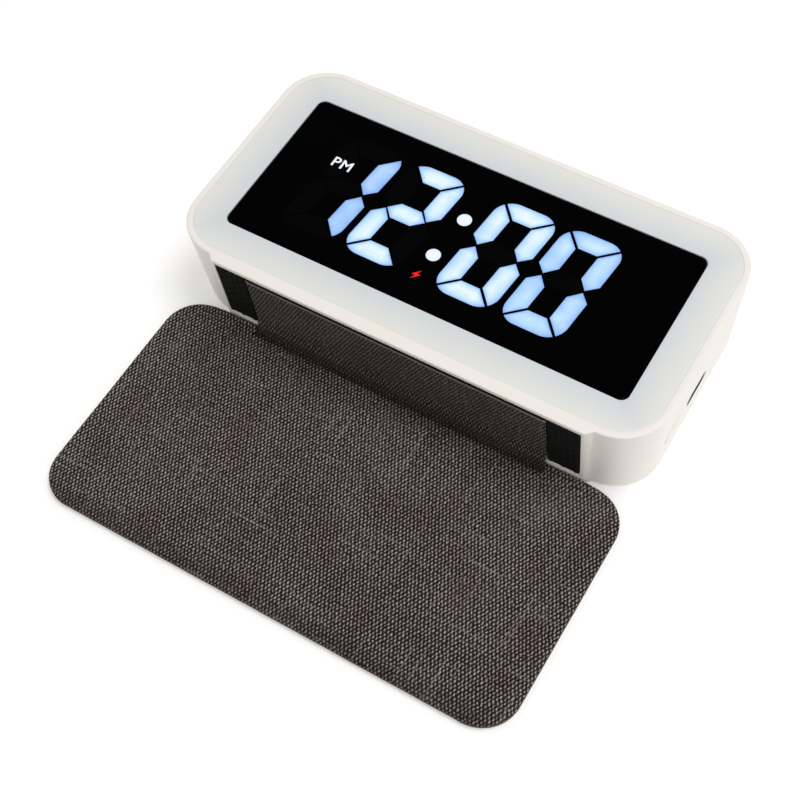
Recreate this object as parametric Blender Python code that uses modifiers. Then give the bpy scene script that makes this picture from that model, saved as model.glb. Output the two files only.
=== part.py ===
"""Rechargeable LED alarm clock, lying on its back with its fabric cover folded out.

Frame: +X along the clock's long side, +Y towards the top of the display, +Z out of
the display. The back lies on z = 0. The origin is at the middle of the whole
footprint, clock and cover together, and the base side starts close to y = 0.
"""

import math

import bmesh
import bpy
from mathutils import Matrix, Vector

MM = 0.001

# ---- driving dimensions, in millimetres ---------------------------------------
GAP = 0.3            # clearance between neighbouring pieces
SEAM = 0.2           # visible seams between flush pieces

BODY_W = 112.5       # clock, along X, at the display face
BODY_H = 57.0        # clock, along Y, at the display face
BODY_T = 23.1        # clock, back to display face
BODY_FAR = 56.6      # far side of the clock at the display face
SIDE_DRAFT = 0.97    # how much the left, right and far walls lean in at the back
BASE_LEAN = 0.0835   # lean of the base side, millimetres per millimetre of height
CORNER_R = 10.8
RIM = 1.44           # width of the rim around the light ring

FRAME_PROUD = 1.5    # raised frame on the base side
FRAME_HALF = 44.4    # half width of the raised frame, at mid step
FRAME_STEP = 0.95    # half the width of its sloping end step

RECESS_HALF = 43.07
RECESS_Z = (4.1, 22.0)
RECESS_DEPTH = 2.3
SPINE_HALF = 35.5
PAD_DEPTH = 1.7
STUD = 0.3
PAD_COLUMNS, PAD_ROWS = 10, 32
SPINE_TOP = 20.9

CAVITY_HALF = 53.0
CAVITY_FAR = 53.3
CAVITY_NEAR = 4.0    # from the plane of the raised frame
CAVITY_R = 8.0

WINDOW_W = 94.9
WINDOW_H = 39.4
WINDOW_Y = 28.03     # middle of the display
WINDOW_R = 1.9

RING_Z = (20.65, 23.05)
WINDOW_Z = (21.4, 23.03)

CUT_OVER = 1.0       # how far a cutter runs past what it cuts
WALL_CUT = 6.0       # depth of the cutters of the openings in the walls
TURNED_SIDES = 32
FRAME_EDGE_R = 0.8
FRAME_BACK = 6.0     # how far the block of the raised frame runs into the wall
WINDOW_LEDGE = 1.25

REAR_T = 2.0         # rear cover
REAR_HALF = 53.8     # pocket of the rear cover
REAR_Y = (3.2, 54.15)
REAR_R = 8.8
BOARD_Z = (10.6, 11.8)
MAIN_HALF, MAIN_Y = 51.5, (11.2, 46.2)
# x, y, side and height of each chip under the main board
CHIPS = ((0, 33.5, 7, 1.0), (-46.5, 30, 5, 1.2), (46.8, 34.5, 4, 1.2),
         (-46.8, 18, 3, 1.6), (47.2, 39.5, 3, 1.0))
LEDGE_X, LEDGE_W, LEDGE_T = 36.0, 4.0, 1.7      # ledges that carry the main board
LEDGE_Y = ((2.9, 12.5), (44.6, 53.8))

RING_BOARD_Z = (17.0, 18.0)
RING_BOARD_HALF, RING_BOARD_Y, RING_BOARD_R = 52.2, (4.4, 52.4), 7.0
RING_HOLE_HALF, RING_HOLE_Y = 47.8, (8.4, 47.8)
LED_X, LED_Y = 50.0, (6.4, 50.1)
LED_SIZE, LED_T = (2.8, 1.4), 1.0
MODULE_HALF, MODULE_Y = 44.5, (12.0, 43.4)

CELL_X, CELL_Y, CELL_TOP = (-42.0, 9.5), (6.0, 35.5), 8.1
LEAD_START, LEAD_END = (9.9, 30.0, 5.2), (16.5, 30.0, 10.1)
LEAD_SAG, LEAD_R, LEAD_STEPS = (1.6, 0.0, -1.4), 0.6, 10

COVER_HALF = 55.4
COVER_T = 1.8
COVER_R = 8.3
COVER_NEAR_R = 6.3
COVER_BOARD_Z = (0.6, 1.1)
CLOTH_T, LINING_T = 0.4, 0.3
HINGE_Y = -2.2       # fold line of the cover
HINGE_Z = 0.0
COVER_FAR_Y = -56.6

PORT_Y, PORT_Z = 26.9, 8.7
PORT_W, PORT_H = 8.9, 3.1
SIDE_BUTTON_Y, SIDE_BUTTON_Z = 15.3, 9.3
SOCKET_X, SOCKET_L = 46.6, 8.2
SOCKET_FLOOR, SOCKET_WALL = 2.0, 0.3
TONGUE_L, TONGUE_W, TONGUE_T = 5.0, 6.6, 0.7
SIDE_BUTTON_L, SIDE_BUTTON_H = 6.8, 2.5
SIDE_BUTTON_X = (52.5, 55.95)
SNOOZE_HALF = 16.0
SNOOZE_Y, SNOOZE_Z = (52.4, 56.35), (8.2, 14.6)
REAR_BUTTONS = (("set_button", -24.0), ("up_button", -8.0),
                ("down_button", 8.0), ("mode_button", 24.0))
REAR_BUTTON_Y = 43.0
REAR_BUTTON_Z = 0.15
REAR_BUTTON_R = 3.2
FLANGE = 0.9         # how far a button's flange stands out from it
SPEAKER_X, SPEAKER_Y, SPEAKER_R = 30.0, 21.0, 10.0
GRILLE_R, SLOT_PITCH, SLOT_W = 8.0, 2.6, 1.2
BOSS_X, BOSS_NEAR_Y, BOSS_FAR_Y, BOSS_R, BOSS_L = 49.5, 7.4, 49.8, 3.0, 14.4
SCREW_HOLE_R, SCREW_SINK_R, SCREW_SINK, SCREW_L = 1.3, 2.5, 1.2, 10.0
DRIVE_L, DRIVE_W, DRIVE_Z = 2.2, 0.5, (-0.5, 0.6)
MAGNET_X, MAGNET_Y, MAGNET_R = 38.0, 43.8, 4.0
COVER_MAGNET_Y = HINGE_Y - (MAGNET_Y - HINGE_Y)

# colour, roughness, metallic, emission strength
MATERIALS = {
    "shell": ((0.84, 0.79, 0.73), 0.45, 0.0, 0.0),
    "diffuser": ((0.72, 0.75, 0.75), 0.35, 0.0, 0.3),
    "window": ((0.004, 0.004, 0.005), 0.12, 0.0, 0.0),
    "digit": ((0.80, 0.88, 1.00), 0.50, 0.0, 0.5),
    "rubber": ((0.010, 0.010, 0.011), 0.80, 0.0, 0.0),
    "cloth": ((0.040, 0.034, 0.031), 0.95, 0.0, 0.0),
    "lining": ((0.55, 0.50, 0.44), 0.90, 0.0, 0.0),
    "board": ((0.02, 0.13, 0.05), 0.50, 0.0, 0.0),
    "card": ((0.25, 0.22, 0.19), 0.90, 0.0, 0.0),
    "steel": ((0.60, 0.60, 0.62), 0.30, 1.0, 0.0),
    "black_plastic": ((0.02, 0.02, 0.02), 0.50, 0.0, 0.0),
    "cell": ((0.30, 0.34, 0.40), 0.40, 0.6, 0.0),
    "lead": ((0.50, 0.02, 0.02), 0.50, 0.0, 0.0),
}


# ---- scene and materials -------------------------------------------------------
def clear_scene():
    for obj in list(bpy.data.objects):
        bpy.data.objects.remove(obj, do_unlink=True)


def new_collection(name):
    collection = bpy.data.collections.new(name)
    bpy.context.scene.collection.children.link(collection)
    return collection


clear_scene()
PARTS = new_collection("alarm_clock")
CUTTERS = new_collection("cutters")


def material(kind):
    found = bpy.data.materials.get(kind)
    if found:
        return found
    colour, roughness, metallic, emission = MATERIALS[kind]
    made = bpy.data.materials.new(kind)
    made.use_nodes = True
    shader = made.node_tree.nodes["Principled BSDF"]
    shader.inputs["Base Color"].default_value = (*colour, 1.0)
    shader.inputs["Roughness"].default_value = roughness
    shader.inputs["Metallic"].default_value = metallic
    shader.inputs["Emission Color"].default_value = (*colour, 1.0)
    shader.inputs["Emission Strength"].default_value = emission
    made.diffuse_color = (*colour, 1.0)
    return made


# ---- modelling helpers (millimetres in, metres out) ------------------------------
def finish_mesh(bm, name, kind=None):
    """Makes the object: a part when it has a material, and a cutter when it doesn't."""
    bmesh.ops.recalc_face_normals(bm, faces=bm.faces)
    bmesh.ops.scale(bm, vec=(MM, MM, MM), verts=bm.verts)
    mesh = bpy.data.meshes.new(name)
    bm.to_mesh(mesh)
    bm.free()
    obj = bpy.data.objects.new(name, mesh)
    if kind:
        mesh.materials.append(material(kind))
        mesh.shade_smooth()
        mesh.set_sharp_from_angle(angle=math.radians(30))
        PARTS.objects.link(obj)
    else:
        obj.hide_render = True
        obj.display_type = "WIRE"
        CUTTERS.objects.link(obj)
    return obj


def round_upright_edges(bm, radius, segments):
    upright = [e for e in bm.edges if abs((e.verts[0].co - e.verts[1].co).z) > 0.01]
    bmesh.ops.bevel(bm, geom=upright, offset=radius, offset_type="OFFSET",
                    segments=segments, profile=0.5, affect="EDGES", clamp_overlap=True)


def block_mesh(x, y, z, lean=0.0, draft=0.0, radius=0.0, segments=6):
    """A box from its X, Y and Z ranges. Its near and far walls shift by lean per
    millimetre of Z, and the left, right and far walls move in by draft at the bottom."""
    bm = bmesh.new()
    bmesh.ops.create_cube(bm, size=1.0)
    for v in bm.verts:
        low = v.co.z < 0
        is_far = v.co.y > 0
        side = 1 if v.co.x > 0 else -1
        height = z[0] if low else z[1]
        edge = x[1] if side > 0 else x[0]
        depth = y[1] if is_far else y[0]
        if low:
            edge -= side * draft
            depth -= draft if is_far else 0.0
        if not (is_far and draft):
            depth -= lean * height
        v.co = Vector((edge, depth, height))
    if radius:
        round_upright_edges(bm, radius, segments)
    return bm


def block(name, x, y, z, kind=None, **shape):
    return finish_mesh(block_mesh(x, y, z, **shape), name, kind)


def rod_mesh(centre, radius, length, axis="Z", sides=24):
    """A cylinder that starts at centre and runs along the axis."""
    bm = bmesh.new()
    bmesh.ops.create_cone(bm, cap_ends=True, segments=sides, radius1=radius,
                          radius2=radius, depth=length)
    bmesh.ops.translate(bm, vec=(0, 0, length / 2), verts=bm.verts)
    turn = {"X": Matrix.Rotation(math.pi / 2, 3, "Y"),
            "Y": Matrix.Rotation(-math.pi / 2, 3, "X"),
            "Z": Matrix.Identity(3)}[axis]
    bmesh.ops.rotate(bm, matrix=turn, verts=bm.verts)
    bmesh.ops.translate(bm, vec=centre, verts=bm.verts)
    return bm


def rod(name, centre, radius, length, kind=None, **shape):
    return finish_mesh(rod_mesh(centre, radius, length, **shape), name, kind)


def capsule(name, centre, length, height, depth, kind=None, axis="X"):
    """A plate with round ends: length along Y (or X for axis Y), depth along the axis."""
    bm = bmesh.new()
    bmesh.ops.create_cube(bm, size=1.0)
    bmesh.ops.scale(bm, vec=(length, height, depth), verts=bm.verts)
    round_upright_edges(bm, height / 2 - 0.01, 6)
    bmesh.ops.translate(bm, vec=(0, 0, depth / 2), verts=bm.verts)
    if axis == "X":
        place = Matrix(((0, 0, 1), (1, 0, 0), (0, 1, 0)))
    else:
        place = Matrix(((1, 0, 0), (0, 0, 1), (0, 1, 0)))
    bmesh.ops.rotate(bm, matrix=place, verts=bm.verts)
    bmesh.ops.translate(bm, vec=centre, verts=bm.verts)
    return finish_mesh(bm, name, kind)


def move_origin(obj, point):
    """Puts the object's origin at a point, in millimetres, and leaves its shape in place."""
    shift = Vector(point) * MM
    obj.data.transform(Matrix.Translation(-shift))
    obj.location = shift
    return obj


def merge(target, other_bm):
    """Puts another bmesh's body into target, as a separate body."""
    carrier = bpy.data.meshes.new("carrier")
    other_bm.to_mesh(carrier)
    other_bm.free()
    target.from_mesh(carrier)
    bpy.data.meshes.remove(carrier)


def boolean(obj, tool, operation):
    modifier = obj.modifiers.new(tool.name, "BOOLEAN")
    modifier.operation = operation
    modifier.solver = "EXACT"
    modifier.object = tool


def cut(obj, *tools):
    for tool in tools:
        boolean(obj, tool, "DIFFERENCE")


def join(obj, *tools):
    for tool in tools:
        boolean(obj, tool, "UNION")


def turned(name, centre, profile, kind):
    """A piece turned round Z. The profile runs down its outer side, top to bottom."""
    mesh = bpy.data.meshes.new(name)
    points = [(r * MM, 0.0, h * MM) for r, h in profile]
    mesh.from_pydata(points, [(i, i + 1) for i in range(len(points) - 1)], [])
    mesh.materials.append(material(kind))
    obj = bpy.data.objects.new(name, mesh)
    obj.location = Vector(centre) * MM
    PARTS.objects.link(obj)
    screw = obj.modifiers.new("turn", "SCREW")
    screw.axis = "Z"
    screw.steps = TURNED_SIDES
    screw.render_steps = TURNED_SIDES
    screw.use_merge_vertices = True
    screw.merge_threshold = 0.00001
    screw.use_smooth_shade = True
    return obj


def tube(name, points, radius, kind):
    """A round wire along a smooth curve through the points."""
    curve = bpy.data.curves.new(name, "CURVE")
    curve.dimensions = "3D"
    curve.bevel_depth = radius * MM
    curve.bevel_resolution = 2
    curve.use_fill_caps = True
    spline = curve.splines.new("POLY")
    spline.points.add(len(points) - 1)
    for slot, point in zip(spline.points, points):
        slot.co = (*[c * MM for c in point], 1.0)
    curve.materials.append(material(kind))
    obj = bpy.data.objects.new(name, curve)
    PARTS.objects.link(obj)
    return obj


def extruded_outline(name, outline, half_width, kind):
    """A flat outline in the YZ plane, as a 2D curve, with its thickness along X."""
    curve = bpy.data.curves.new(name, "CURVE")
    curve.dimensions = "2D"
    curve.fill_mode = "BOTH"
    curve.extrude = half_width * MM
    spline = curve.splines.new("POLY")
    spline.points.add(len(outline) - 1)
    for slot, (y, z) in zip(spline.points, outline):
        slot.co = (y * MM, z * MM, 0.0, 1.0)
    spline.use_cyclic_u = True
    curve.materials.append(material(kind))
    obj = bpy.data.objects.new(name, curve)
    obj.matrix_world = Matrix(((0, 0, 1, 0), (1, 0, 0, 0), (0, 1, 0, 0), (0, 0, 0, 1)))
    PARTS.objects.link(obj)
    return obj


def base_plane(z, behind=0.0):
    """Y of the raised frame's front at height z, or of a plane behind it."""
    return behind - BASE_LEAN * z


# ---- housing ---------------------------------------------------------------------
def build_housing():
    half = BODY_W / 2
    wall_y = FRAME_PROUD
    shell = block("housing", (-half, half), (wall_y, BODY_FAR), (0.0, BODY_T), "shell",
                  lean=BASE_LEAN, draft=SIDE_DRAFT, radius=CORNER_R, segments=10)

    frame = bmesh.new()
    outline = ((-FRAME_HALF - FRAME_STEP, FRAME_PROUD), (-FRAME_HALF + FRAME_STEP, 0.0),
               (FRAME_HALF - FRAME_STEP, 0.0), (FRAME_HALF + FRAME_STEP, FRAME_PROUD),
               (FRAME_HALF + FRAME_STEP, FRAME_BACK), (-FRAME_HALF - FRAME_STEP, FRAME_BACK))
    rings = []
    for z in (0.0, BODY_T):
        rings.append([frame.verts.new((x, base_plane(z, y), z)) for x, y in outline])
    frame.faces.new(rings[0])
    frame.faces.new(rings[1])
    for i in range(len(outline)):
        j = (i + 1) % len(outline)
        frame.faces.new((rings[0][i], rings[0][j], rings[1][j], rings[1][i]))
    steps = [e for e in frame.edges
             if abs((e.verts[0].co - e.verts[1].co).z) > 1.0 and e.verts[0].co.y < 1.0
             and abs(e.verts[0].co.x) < FRAME_HALF]
    bmesh.ops.bevel(frame, geom=steps, offset=FRAME_EDGE_R, segments=3, profile=0.5,
                    affect="EDGES")
    join(shell, finish_mesh(frame, "frame_block"))

    cavity = block("cavity_cutter", (-CAVITY_HALF, CAVITY_HALF), (CAVITY_NEAR, CAVITY_FAR),
                   (-CUT_OVER, BODY_T + CUT_OVER), radius=CAVITY_R)
    for v in cavity.data.vertices:
        if v.co.y < (CAVITY_NEAR + CAVITY_R + CUT_OVER) * MM:
            v.co.y -= BASE_LEAN * v.co.z
    cut(shell, cavity)

    front = block("front_pocket", (-half + RIM, half - RIM),
                  (BODY_FAR - BODY_H + RIM, BODY_FAR - RIM),
                  (RING_Z[0] - GAP, BODY_T + CUT_OVER), radius=CORNER_R - RIM, segments=8)
    cut(shell, front)

    back = block("back_pocket", (-REAR_HALF, REAR_HALF), REAR_Y, (-CUT_OVER, REAR_T + GAP),
                 radius=REAR_R, segments=8)
    cut(shell, back)

    recess = block("recess_cutter", (-RECESS_HALF, RECESS_HALF), (-CUT_OVER, RECESS_DEPTH),
                   RECESS_Z, lean=BASE_LEAN)
    cut(shell, recess)

    posts = bmesh.new()
    holes = bmesh.new()
    for x in (-BOSS_X, BOSS_X):
        for y in (BOSS_NEAR_Y, BOSS_FAR_Y):
            merge(posts, rod_mesh((x, y, REAR_T + GAP), BOSS_R, BOSS_L))
            merge(holes, rod_mesh((x, y, REAR_T - CUT_OVER), SCREW_HOLE_R, SCREW_L, sides=16))
    for x in (-LEDGE_X, LEDGE_X):
        for y in LEDGE_Y:
            merge(posts, block_mesh((x - LEDGE_W / 2, x + LEDGE_W / 2), y,
                                    (BOARD_Z[0] - GAP - LEDGE_T, BOARD_Z[0] - GAP)))
    join(shell, finish_mesh(posts, "posts"))
    cut(shell, finish_mesh(holes, "post_holes"))

    wall_x = CAVITY_HALF - CUT_OVER
    cut(shell,
        capsule("port_cutter", (wall_x, PORT_Y, PORT_Z), PORT_W + 2 * SEAM,
                PORT_H + 2 * SEAM, WALL_CUT),
        capsule("side_button_cutter", (wall_x, SIDE_BUTTON_Y, SIDE_BUTTON_Z),
                SIDE_BUTTON_L + 2 * SEAM, SIDE_BUTTON_H + 2 * SEAM, WALL_CUT),
        capsule("snooze_cutter", (0.0, CAVITY_FAR - CUT_OVER, sum(SNOOZE_Z) / 2),
                2 * SNOOZE_HALF + 2 * SEAM, SNOOZE_Z[1] - SNOOZE_Z[0] + 2 * SEAM, WALL_CUT,
                axis="Y"))
    return shell


# ---- front: light ring, window, digits ---------------------------------------------
def build_front():
    half = BODY_W / 2 - RIM - SEAM
    near = BODY_FAR - BODY_H + RIM + SEAM
    far = BODY_FAR - RIM - SEAM
    ring = block("light_ring", (-half, half), (near, far), RING_Z, "diffuser",
                 radius=CORNER_R - RIM - SEAM, segments=8)
    half_w, half_h = WINDOW_W / 2, WINDOW_H / 2
    cut(ring,
        block("window_pocket", (-half_w, half_w), (WINDOW_Y - half_h, WINDOW_Y + half_h),
              (WINDOW_Z[0] - SEAM, BODY_T + CUT_OVER), radius=WINDOW_R, segments=4),
        block("window_opening", (-half_w + WINDOW_LEDGE, half_w - WINDOW_LEDGE),
              (WINDOW_Y - half_h + WINDOW_LEDGE, WINDOW_Y + half_h - WINDOW_LEDGE),
              (RING_Z[0] - CUT_OVER, BODY_T + CUT_OVER)))
    block("display_window", (-half_w + SEAM, half_w - SEAM),
          (WINDOW_Y - half_h + SEAM, WINDOW_Y + half_h - SEAM), WINDOW_Z, "window",
          radius=WINDOW_R - SEAM, segments=4)
    build_digit_module()


SEGMENT_T, CELL_SPREAD = 4.2, 2.1   # a segment's cell is a hexagon drawn out both ways
DIGIT_SLANT = 0.135                 # sideways shift per millimetre of height
DIGIT_X = (-22.5, -6.8, 15.2, 30.7)
DIGIT_HALF_W, DIGIT_HALF_H = 5.2, 11.6
CELL_DEPTH, CELL_Z = 8.0, 19.0


def segment_places():
    """Middle and direction of the seven segments of one digit."""
    places = [(0.0, row * DIGIT_HALF_H, False) for row in (-1, 0, 1)]
    for column in (-1, 1):
        for row in (-0.5, 0.5):
            places.append((column * DIGIT_HALF_W, row * DIGIT_HALF_H, True))
    return places


def build_digit_module():
    """The white block under the window, with an open cell for each segment."""
    module = block("digit_module", (-MODULE_HALF, MODULE_HALF), MODULE_Y,
                   (BOARD_Z[1] + GAP, WINDOW_Z[0] - GAP - SEAM), "digit")
    cells = bmesh.new()
    for digit, x in enumerate(DIGIT_X):
        for sx, sy, upright in segment_places():
            if digit == 0 and (sx <= 0 or not upright):
                continue
            cell = bmesh.new()
            bmesh.ops.create_cone(cell, cap_ends=True, segments=6, radius1=SEGMENT_T / 2,
                                  radius2=SEGMENT_T / 2, depth=CELL_DEPTH)
            for v in cell.verts:
                if abs(v.co.x) > SEGMENT_T / 10:
                    v.co.x += math.copysign(CELL_SPREAD, v.co.x)
            if upright:
                bmesh.ops.rotate(cell, matrix=Matrix.Rotation(math.pi / 2, 3, "Z"),
                                 verts=cell.verts)
            bmesh.ops.translate(cell, vec=(x + sx + DIGIT_SLANT * sy, WINDOW_Y + sy, CELL_Z),
                                verts=cell.verts)
            merge(cells, cell)
    cut(module, finish_mesh(cells, "segment_cells"))
    return module


# ---- electronics --------------------------------------------------------------------
def build_main_board():
    board = block("main_board", (-MAIN_HALF, MAIN_HALF), MAIN_Y, BOARD_Z, "board")
    chips = bmesh.new()
    for x, y, size, height in CHIPS:
        merge(chips, block_mesh((x - size / 2, x + size / 2), (y - size / 2, y + size / 2),
                                (BOARD_Z[0] - height, sum(BOARD_Z) / 2)))
    join(board, finish_mesh(chips, "chips"))
    return board


def build_ring_board():
    """A frame-shaped board under the light ring, with a row of LEDs on each side."""
    board = block("ring_light_board", (-RING_BOARD_HALF, RING_BOARD_HALF), RING_BOARD_Y,
                  RING_BOARD_Z, "board", radius=RING_BOARD_R, segments=4)
    cut(board, block("ring_board_opening", (-RING_HOLE_HALF, RING_HOLE_HALF), RING_HOLE_Y,
                     (RING_BOARD_Z[0] - CUT_OVER, RING_BOARD_Z[1] + CUT_OVER)))
    leds = bmesh.new()
    level = [(x, y) for y in LED_Y for x in range(-40, 41, 16)]
    upright = [(x, y) for x in (-LED_X, LED_X) for y in (16.0, 28.0, 40.0)]
    for x, y in level + upright:
        length, width = LED_SIZE if (x, y) in level else reversed(LED_SIZE)
        merge(leds, block_mesh((x - length / 2, x + length / 2),
                               (y - width / 2, y + width / 2),
                               (sum(RING_BOARD_Z) / 2, RING_BOARD_Z[1] + LED_T)))
    join(board, finish_mesh(leds, "ring_leds"))
    return board


def build_power():
    block("battery_cell", CELL_X, CELL_Y, (REAR_T + GAP, CELL_TOP), "cell",
          radius=2.0, segments=3)
    start, end = Vector(LEAD_START), Vector(LEAD_END)
    route = []
    for i in range(LEAD_STEPS + 1):
        t = i / LEAD_STEPS
        route.append(start.lerp(end, t) + Vector(LEAD_SAG) * math.sin(math.pi * t))
    tube("battery_lead", route, LEAD_R, "lead")


def build_usb_socket():
    """Hollow shell with a tongue, open at its mouth in the right wall."""
    socket = capsule("usb_c_socket", (SOCKET_X, PORT_Y, PORT_Z), PORT_W, PORT_H, SOCKET_L,
                     "steel")
    floor_x = SOCKET_X + SOCKET_FLOOR
    cut(socket, capsule("socket_hollow", (floor_x, PORT_Y, PORT_Z), PORT_W - 2 * SOCKET_WALL,
                        PORT_H - 2 * SOCKET_WALL, SOCKET_L))
    join(socket, block("socket_tongue", (floor_x - 0.6, floor_x + TONGUE_L),
                       (PORT_Y - TONGUE_W / 2, PORT_Y + TONGUE_W / 2),
                       (PORT_Z - TONGUE_T / 2, PORT_Z + TONGUE_T / 2)))
    return socket


def build_speaker():
    """Round frame with a dished cone and a magnet cup at its back."""
    z = REAR_T + GAP
    profile = ((0.0, 6.6), (4.6, 6.6), (4.6, 4.6), (8.2, 3.4), (SPEAKER_R, 3.2),
               (SPEAKER_R, 0.0), (8.6, 0.0), (8.0, 0.9), (4.0, 1.9), (2.6, 1.3), (0.0, 0.9))
    turned("speaker", (SPEAKER_X, SPEAKER_Y, z), profile, "black_plastic")


def tact_switch(name, centre, size, plunger_r, plunger_l, direction):
    """Square switch body at centre, with its plunger along the direction."""
    cx, cy, cz = centre
    body = block(name, (cx - size[0] / 2, cx + size[0] / 2),
                 (cy - size[1] / 2, cy + size[1] / 2), (cz - size[2] / 2, cz + size[2] / 2),
                 "black_plastic")
    axis = "XYZ"[[i for i in range(3) if direction[i]][0]]
    reach = size["XYZ".index(axis)] / 2 + plunger_l
    sign = sum(direction)
    start = Vector(centre)
    if sign < 0:
        start += Vector(direction) * reach
    join(body, rod(name + "_plunger", start, plunger_r, reach, axis=axis, sides=16))
    return body


# ---- buttons ---------------------------------------------------------------------------
def build_rear_controls():
    flange_z = REAR_T + GAP + SEAM
    for name, x in REAR_BUTTONS:
        button = rod(name, (x, REAR_BUTTON_Y, REAR_BUTTON_Z), REAR_BUTTON_R, 2.6, "shell",
                     sides=28)
        join(button,
             rod(name + "_flange", (x, REAR_BUTTON_Y, flange_z), REAR_BUTTON_R + FLANGE, 0.8),
             rod(name + "_stem", (x, REAR_BUTTON_Y, flange_z + 0.5), 1.5, 2.4, sides=16))
        move_origin(button, (x, REAR_BUTTON_Y, REAR_BUTTON_Z))
        tact_switch(name.replace("button", "switch"), (x, REAR_BUTTON_Y, 8.65),
                    (5.6, 5.6, 3.3), 1.4, 0.9, (0, 0, -1))


def build_side_control():
    base = (SIDE_BUTTON_X[0], SIDE_BUTTON_Y, SIDE_BUTTON_Z)
    button = capsule("side_button", base, SIDE_BUTTON_L, SIDE_BUTTON_H,
                     SIDE_BUTTON_X[1] - SIDE_BUTTON_X[0], "shell")
    join(button, capsule("side_button_flange", (base[0] - 0.4, base[1], base[2]),
                         SIDE_BUTTON_L + 1.6, SIDE_BUTTON_H + 1.4, 0.65))
    move_origin(button, base)
    tact_switch("side_switch", (48.6, SIDE_BUTTON_Y, 8.8), (3.4, 5.8, 3.0), 0.9, 1.0,
                (1, 0, 0))


def build_snooze():
    mid_z = sum(SNOOZE_Z) / 2
    height = SNOOZE_Z[1] - SNOOZE_Z[0]
    base = (0.0, SNOOZE_Y[0], mid_z)
    button = capsule("snooze_button", base, 2 * SNOOZE_HALF, height,
                     SNOOZE_Y[1] - SNOOZE_Y[0], "shell", axis="Y")
    join(button,
         capsule("snooze_flange", (0.0, base[1] - 0.4, mid_z), 2 * SNOOZE_HALF + 1.8,
                 height + 1.2, 1.0, axis="Y"),
         rod("snooze_stem", (0.0, base[1] - 1.5, 13.6), 1.3, 1.4, axis="Y", sides=16))
    move_origin(button, base)
    tact_switch("snooze_switch", (0.0, 46.4, 13.8), (5.8, 5.2, 3.4), 1.0, 1.0, (0, 1, 0))


# ---- back ---------------------------------------------------------------------------------
def build_back():
    cover = block("rear_cover", (-REAR_HALF + SEAM, REAR_HALF - SEAM),
                  (REAR_Y[0] + SEAM, REAR_Y[1] - SEAM), (0.0, REAR_T), "shell",
                  radius=REAR_R - SEAM, segments=8)
    through = REAR_T + 2 * CUT_OVER
    holes, sinks = bmesh.new(), bmesh.new()
    for x in (-BOSS_X, BOSS_X):
        for y in (BOSS_NEAR_Y, BOSS_FAR_Y):
            merge(holes, rod_mesh((x, y, -CUT_OVER), SCREW_HOLE_R, through, sides=16))
            merge(sinks, rod_mesh((x, y, -CUT_OVER), SCREW_SINK_R, CUT_OVER + SCREW_SINK))
    buttons = bmesh.new()
    for _, x in REAR_BUTTONS:
        merge(buttons, rod_mesh((x, REAR_BUTTON_Y, -CUT_OVER), REAR_BUTTON_R + SEAM, through,
                                sides=28))
    slots = bmesh.new()
    for row in range(-2, 3):
        y = SPEAKER_Y + row * SLOT_PITCH
        half = math.sqrt(GRILLE_R ** 2 - (row * SLOT_PITCH) ** 2)
        merge(slots, block_mesh((SPEAKER_X - half, SPEAKER_X + half),
                                (y - SLOT_W / 2, y + SLOT_W / 2),
                                (-CUT_OVER, REAR_T + CUT_OVER)))
    cut(cover, finish_mesh(holes, "screw_holes"), finish_mesh(sinks, "screw_sinks"),
        finish_mesh(buttons, "button_holes"), finish_mesh(slots, "speaker_slots"))

    number = 0
    for y in (BOSS_NEAR_Y, BOSS_FAR_Y):
        for x in (-BOSS_X, BOSS_X):
            number += 1
            screw = rod(f"rear_screw_{number}", (x, y, 0.2), 2.15, 0.7, "steel", sides=20)
            join(screw, rod(f"shank_{number}", (x, y, 0.5), 0.95, 8.0, sides=12))
            long, short = DRIVE_L / 2, DRIVE_W / 2
            cut(screw,
                block(f"drive_{number}_x", (x - long, x + long), (y - short, y + short),
                      DRIVE_Z),
                block(f"drive_{number}_y", (x - short, x + short), (y - long, y + long),
                      DRIVE_Z))


# ---- base side: pads and spine ----------------------------------------------------------------
def build_pad(name, x_range):
    """Rubber block whose front carries staggered pyramid studs."""
    columns, rows = PAD_COLUMNS, PAD_ROWS
    z0, z1 = RECESS_Z[0] + SEAM, RECESS_Z[1] - SEAM
    bm = bmesh.new()
    grid = []
    for r in range(rows + 1):
        z = z0 + (z1 - z0) * r / rows
        row = []
        for c in range(columns + 1):
            x = x_range[0] + (x_range[1] - x_range[0]) * c / columns
            inner = 0 < r < rows and 0 < c < columns
            on_stud = inner and c % 2 == 1 and r % 2 == 1 and (c + r) % 4 == 2
            row.append(bm.verts.new((x, base_plane(z, -STUD if on_stud else 0.0), z)))
        grid.append(row)
    for r in range(rows):
        for c in range(columns):
            a, b, d, e = grid[r][c], grid[r][c + 1], grid[r + 1][c + 1], grid[r + 1][c]
            if (r // 2 + c // 2) % 2 == (r + c) % 2:
                bm.faces.new((a, b, d))
                bm.faces.new((a, d, e))
            else:
                bm.faces.new((a, b, e))
                bm.faces.new((b, d, e))
    rim = [e for e in bm.edges if len(e.link_faces) == 1]
    made = bmesh.ops.extrude_edge_only(bm, edges=rim)
    for v in [g for g in made["geom"] if isinstance(g, bmesh.types.BMVert)]:
        v.co.y = base_plane(v.co.z, PAD_DEPTH)
    open_edges = [e for e in bm.edges if len(e.link_faces) == 1]
    bmesh.ops.contextual_create(bm, geom=open_edges)
    return finish_mesh(bm, name, "rubber")


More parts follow.
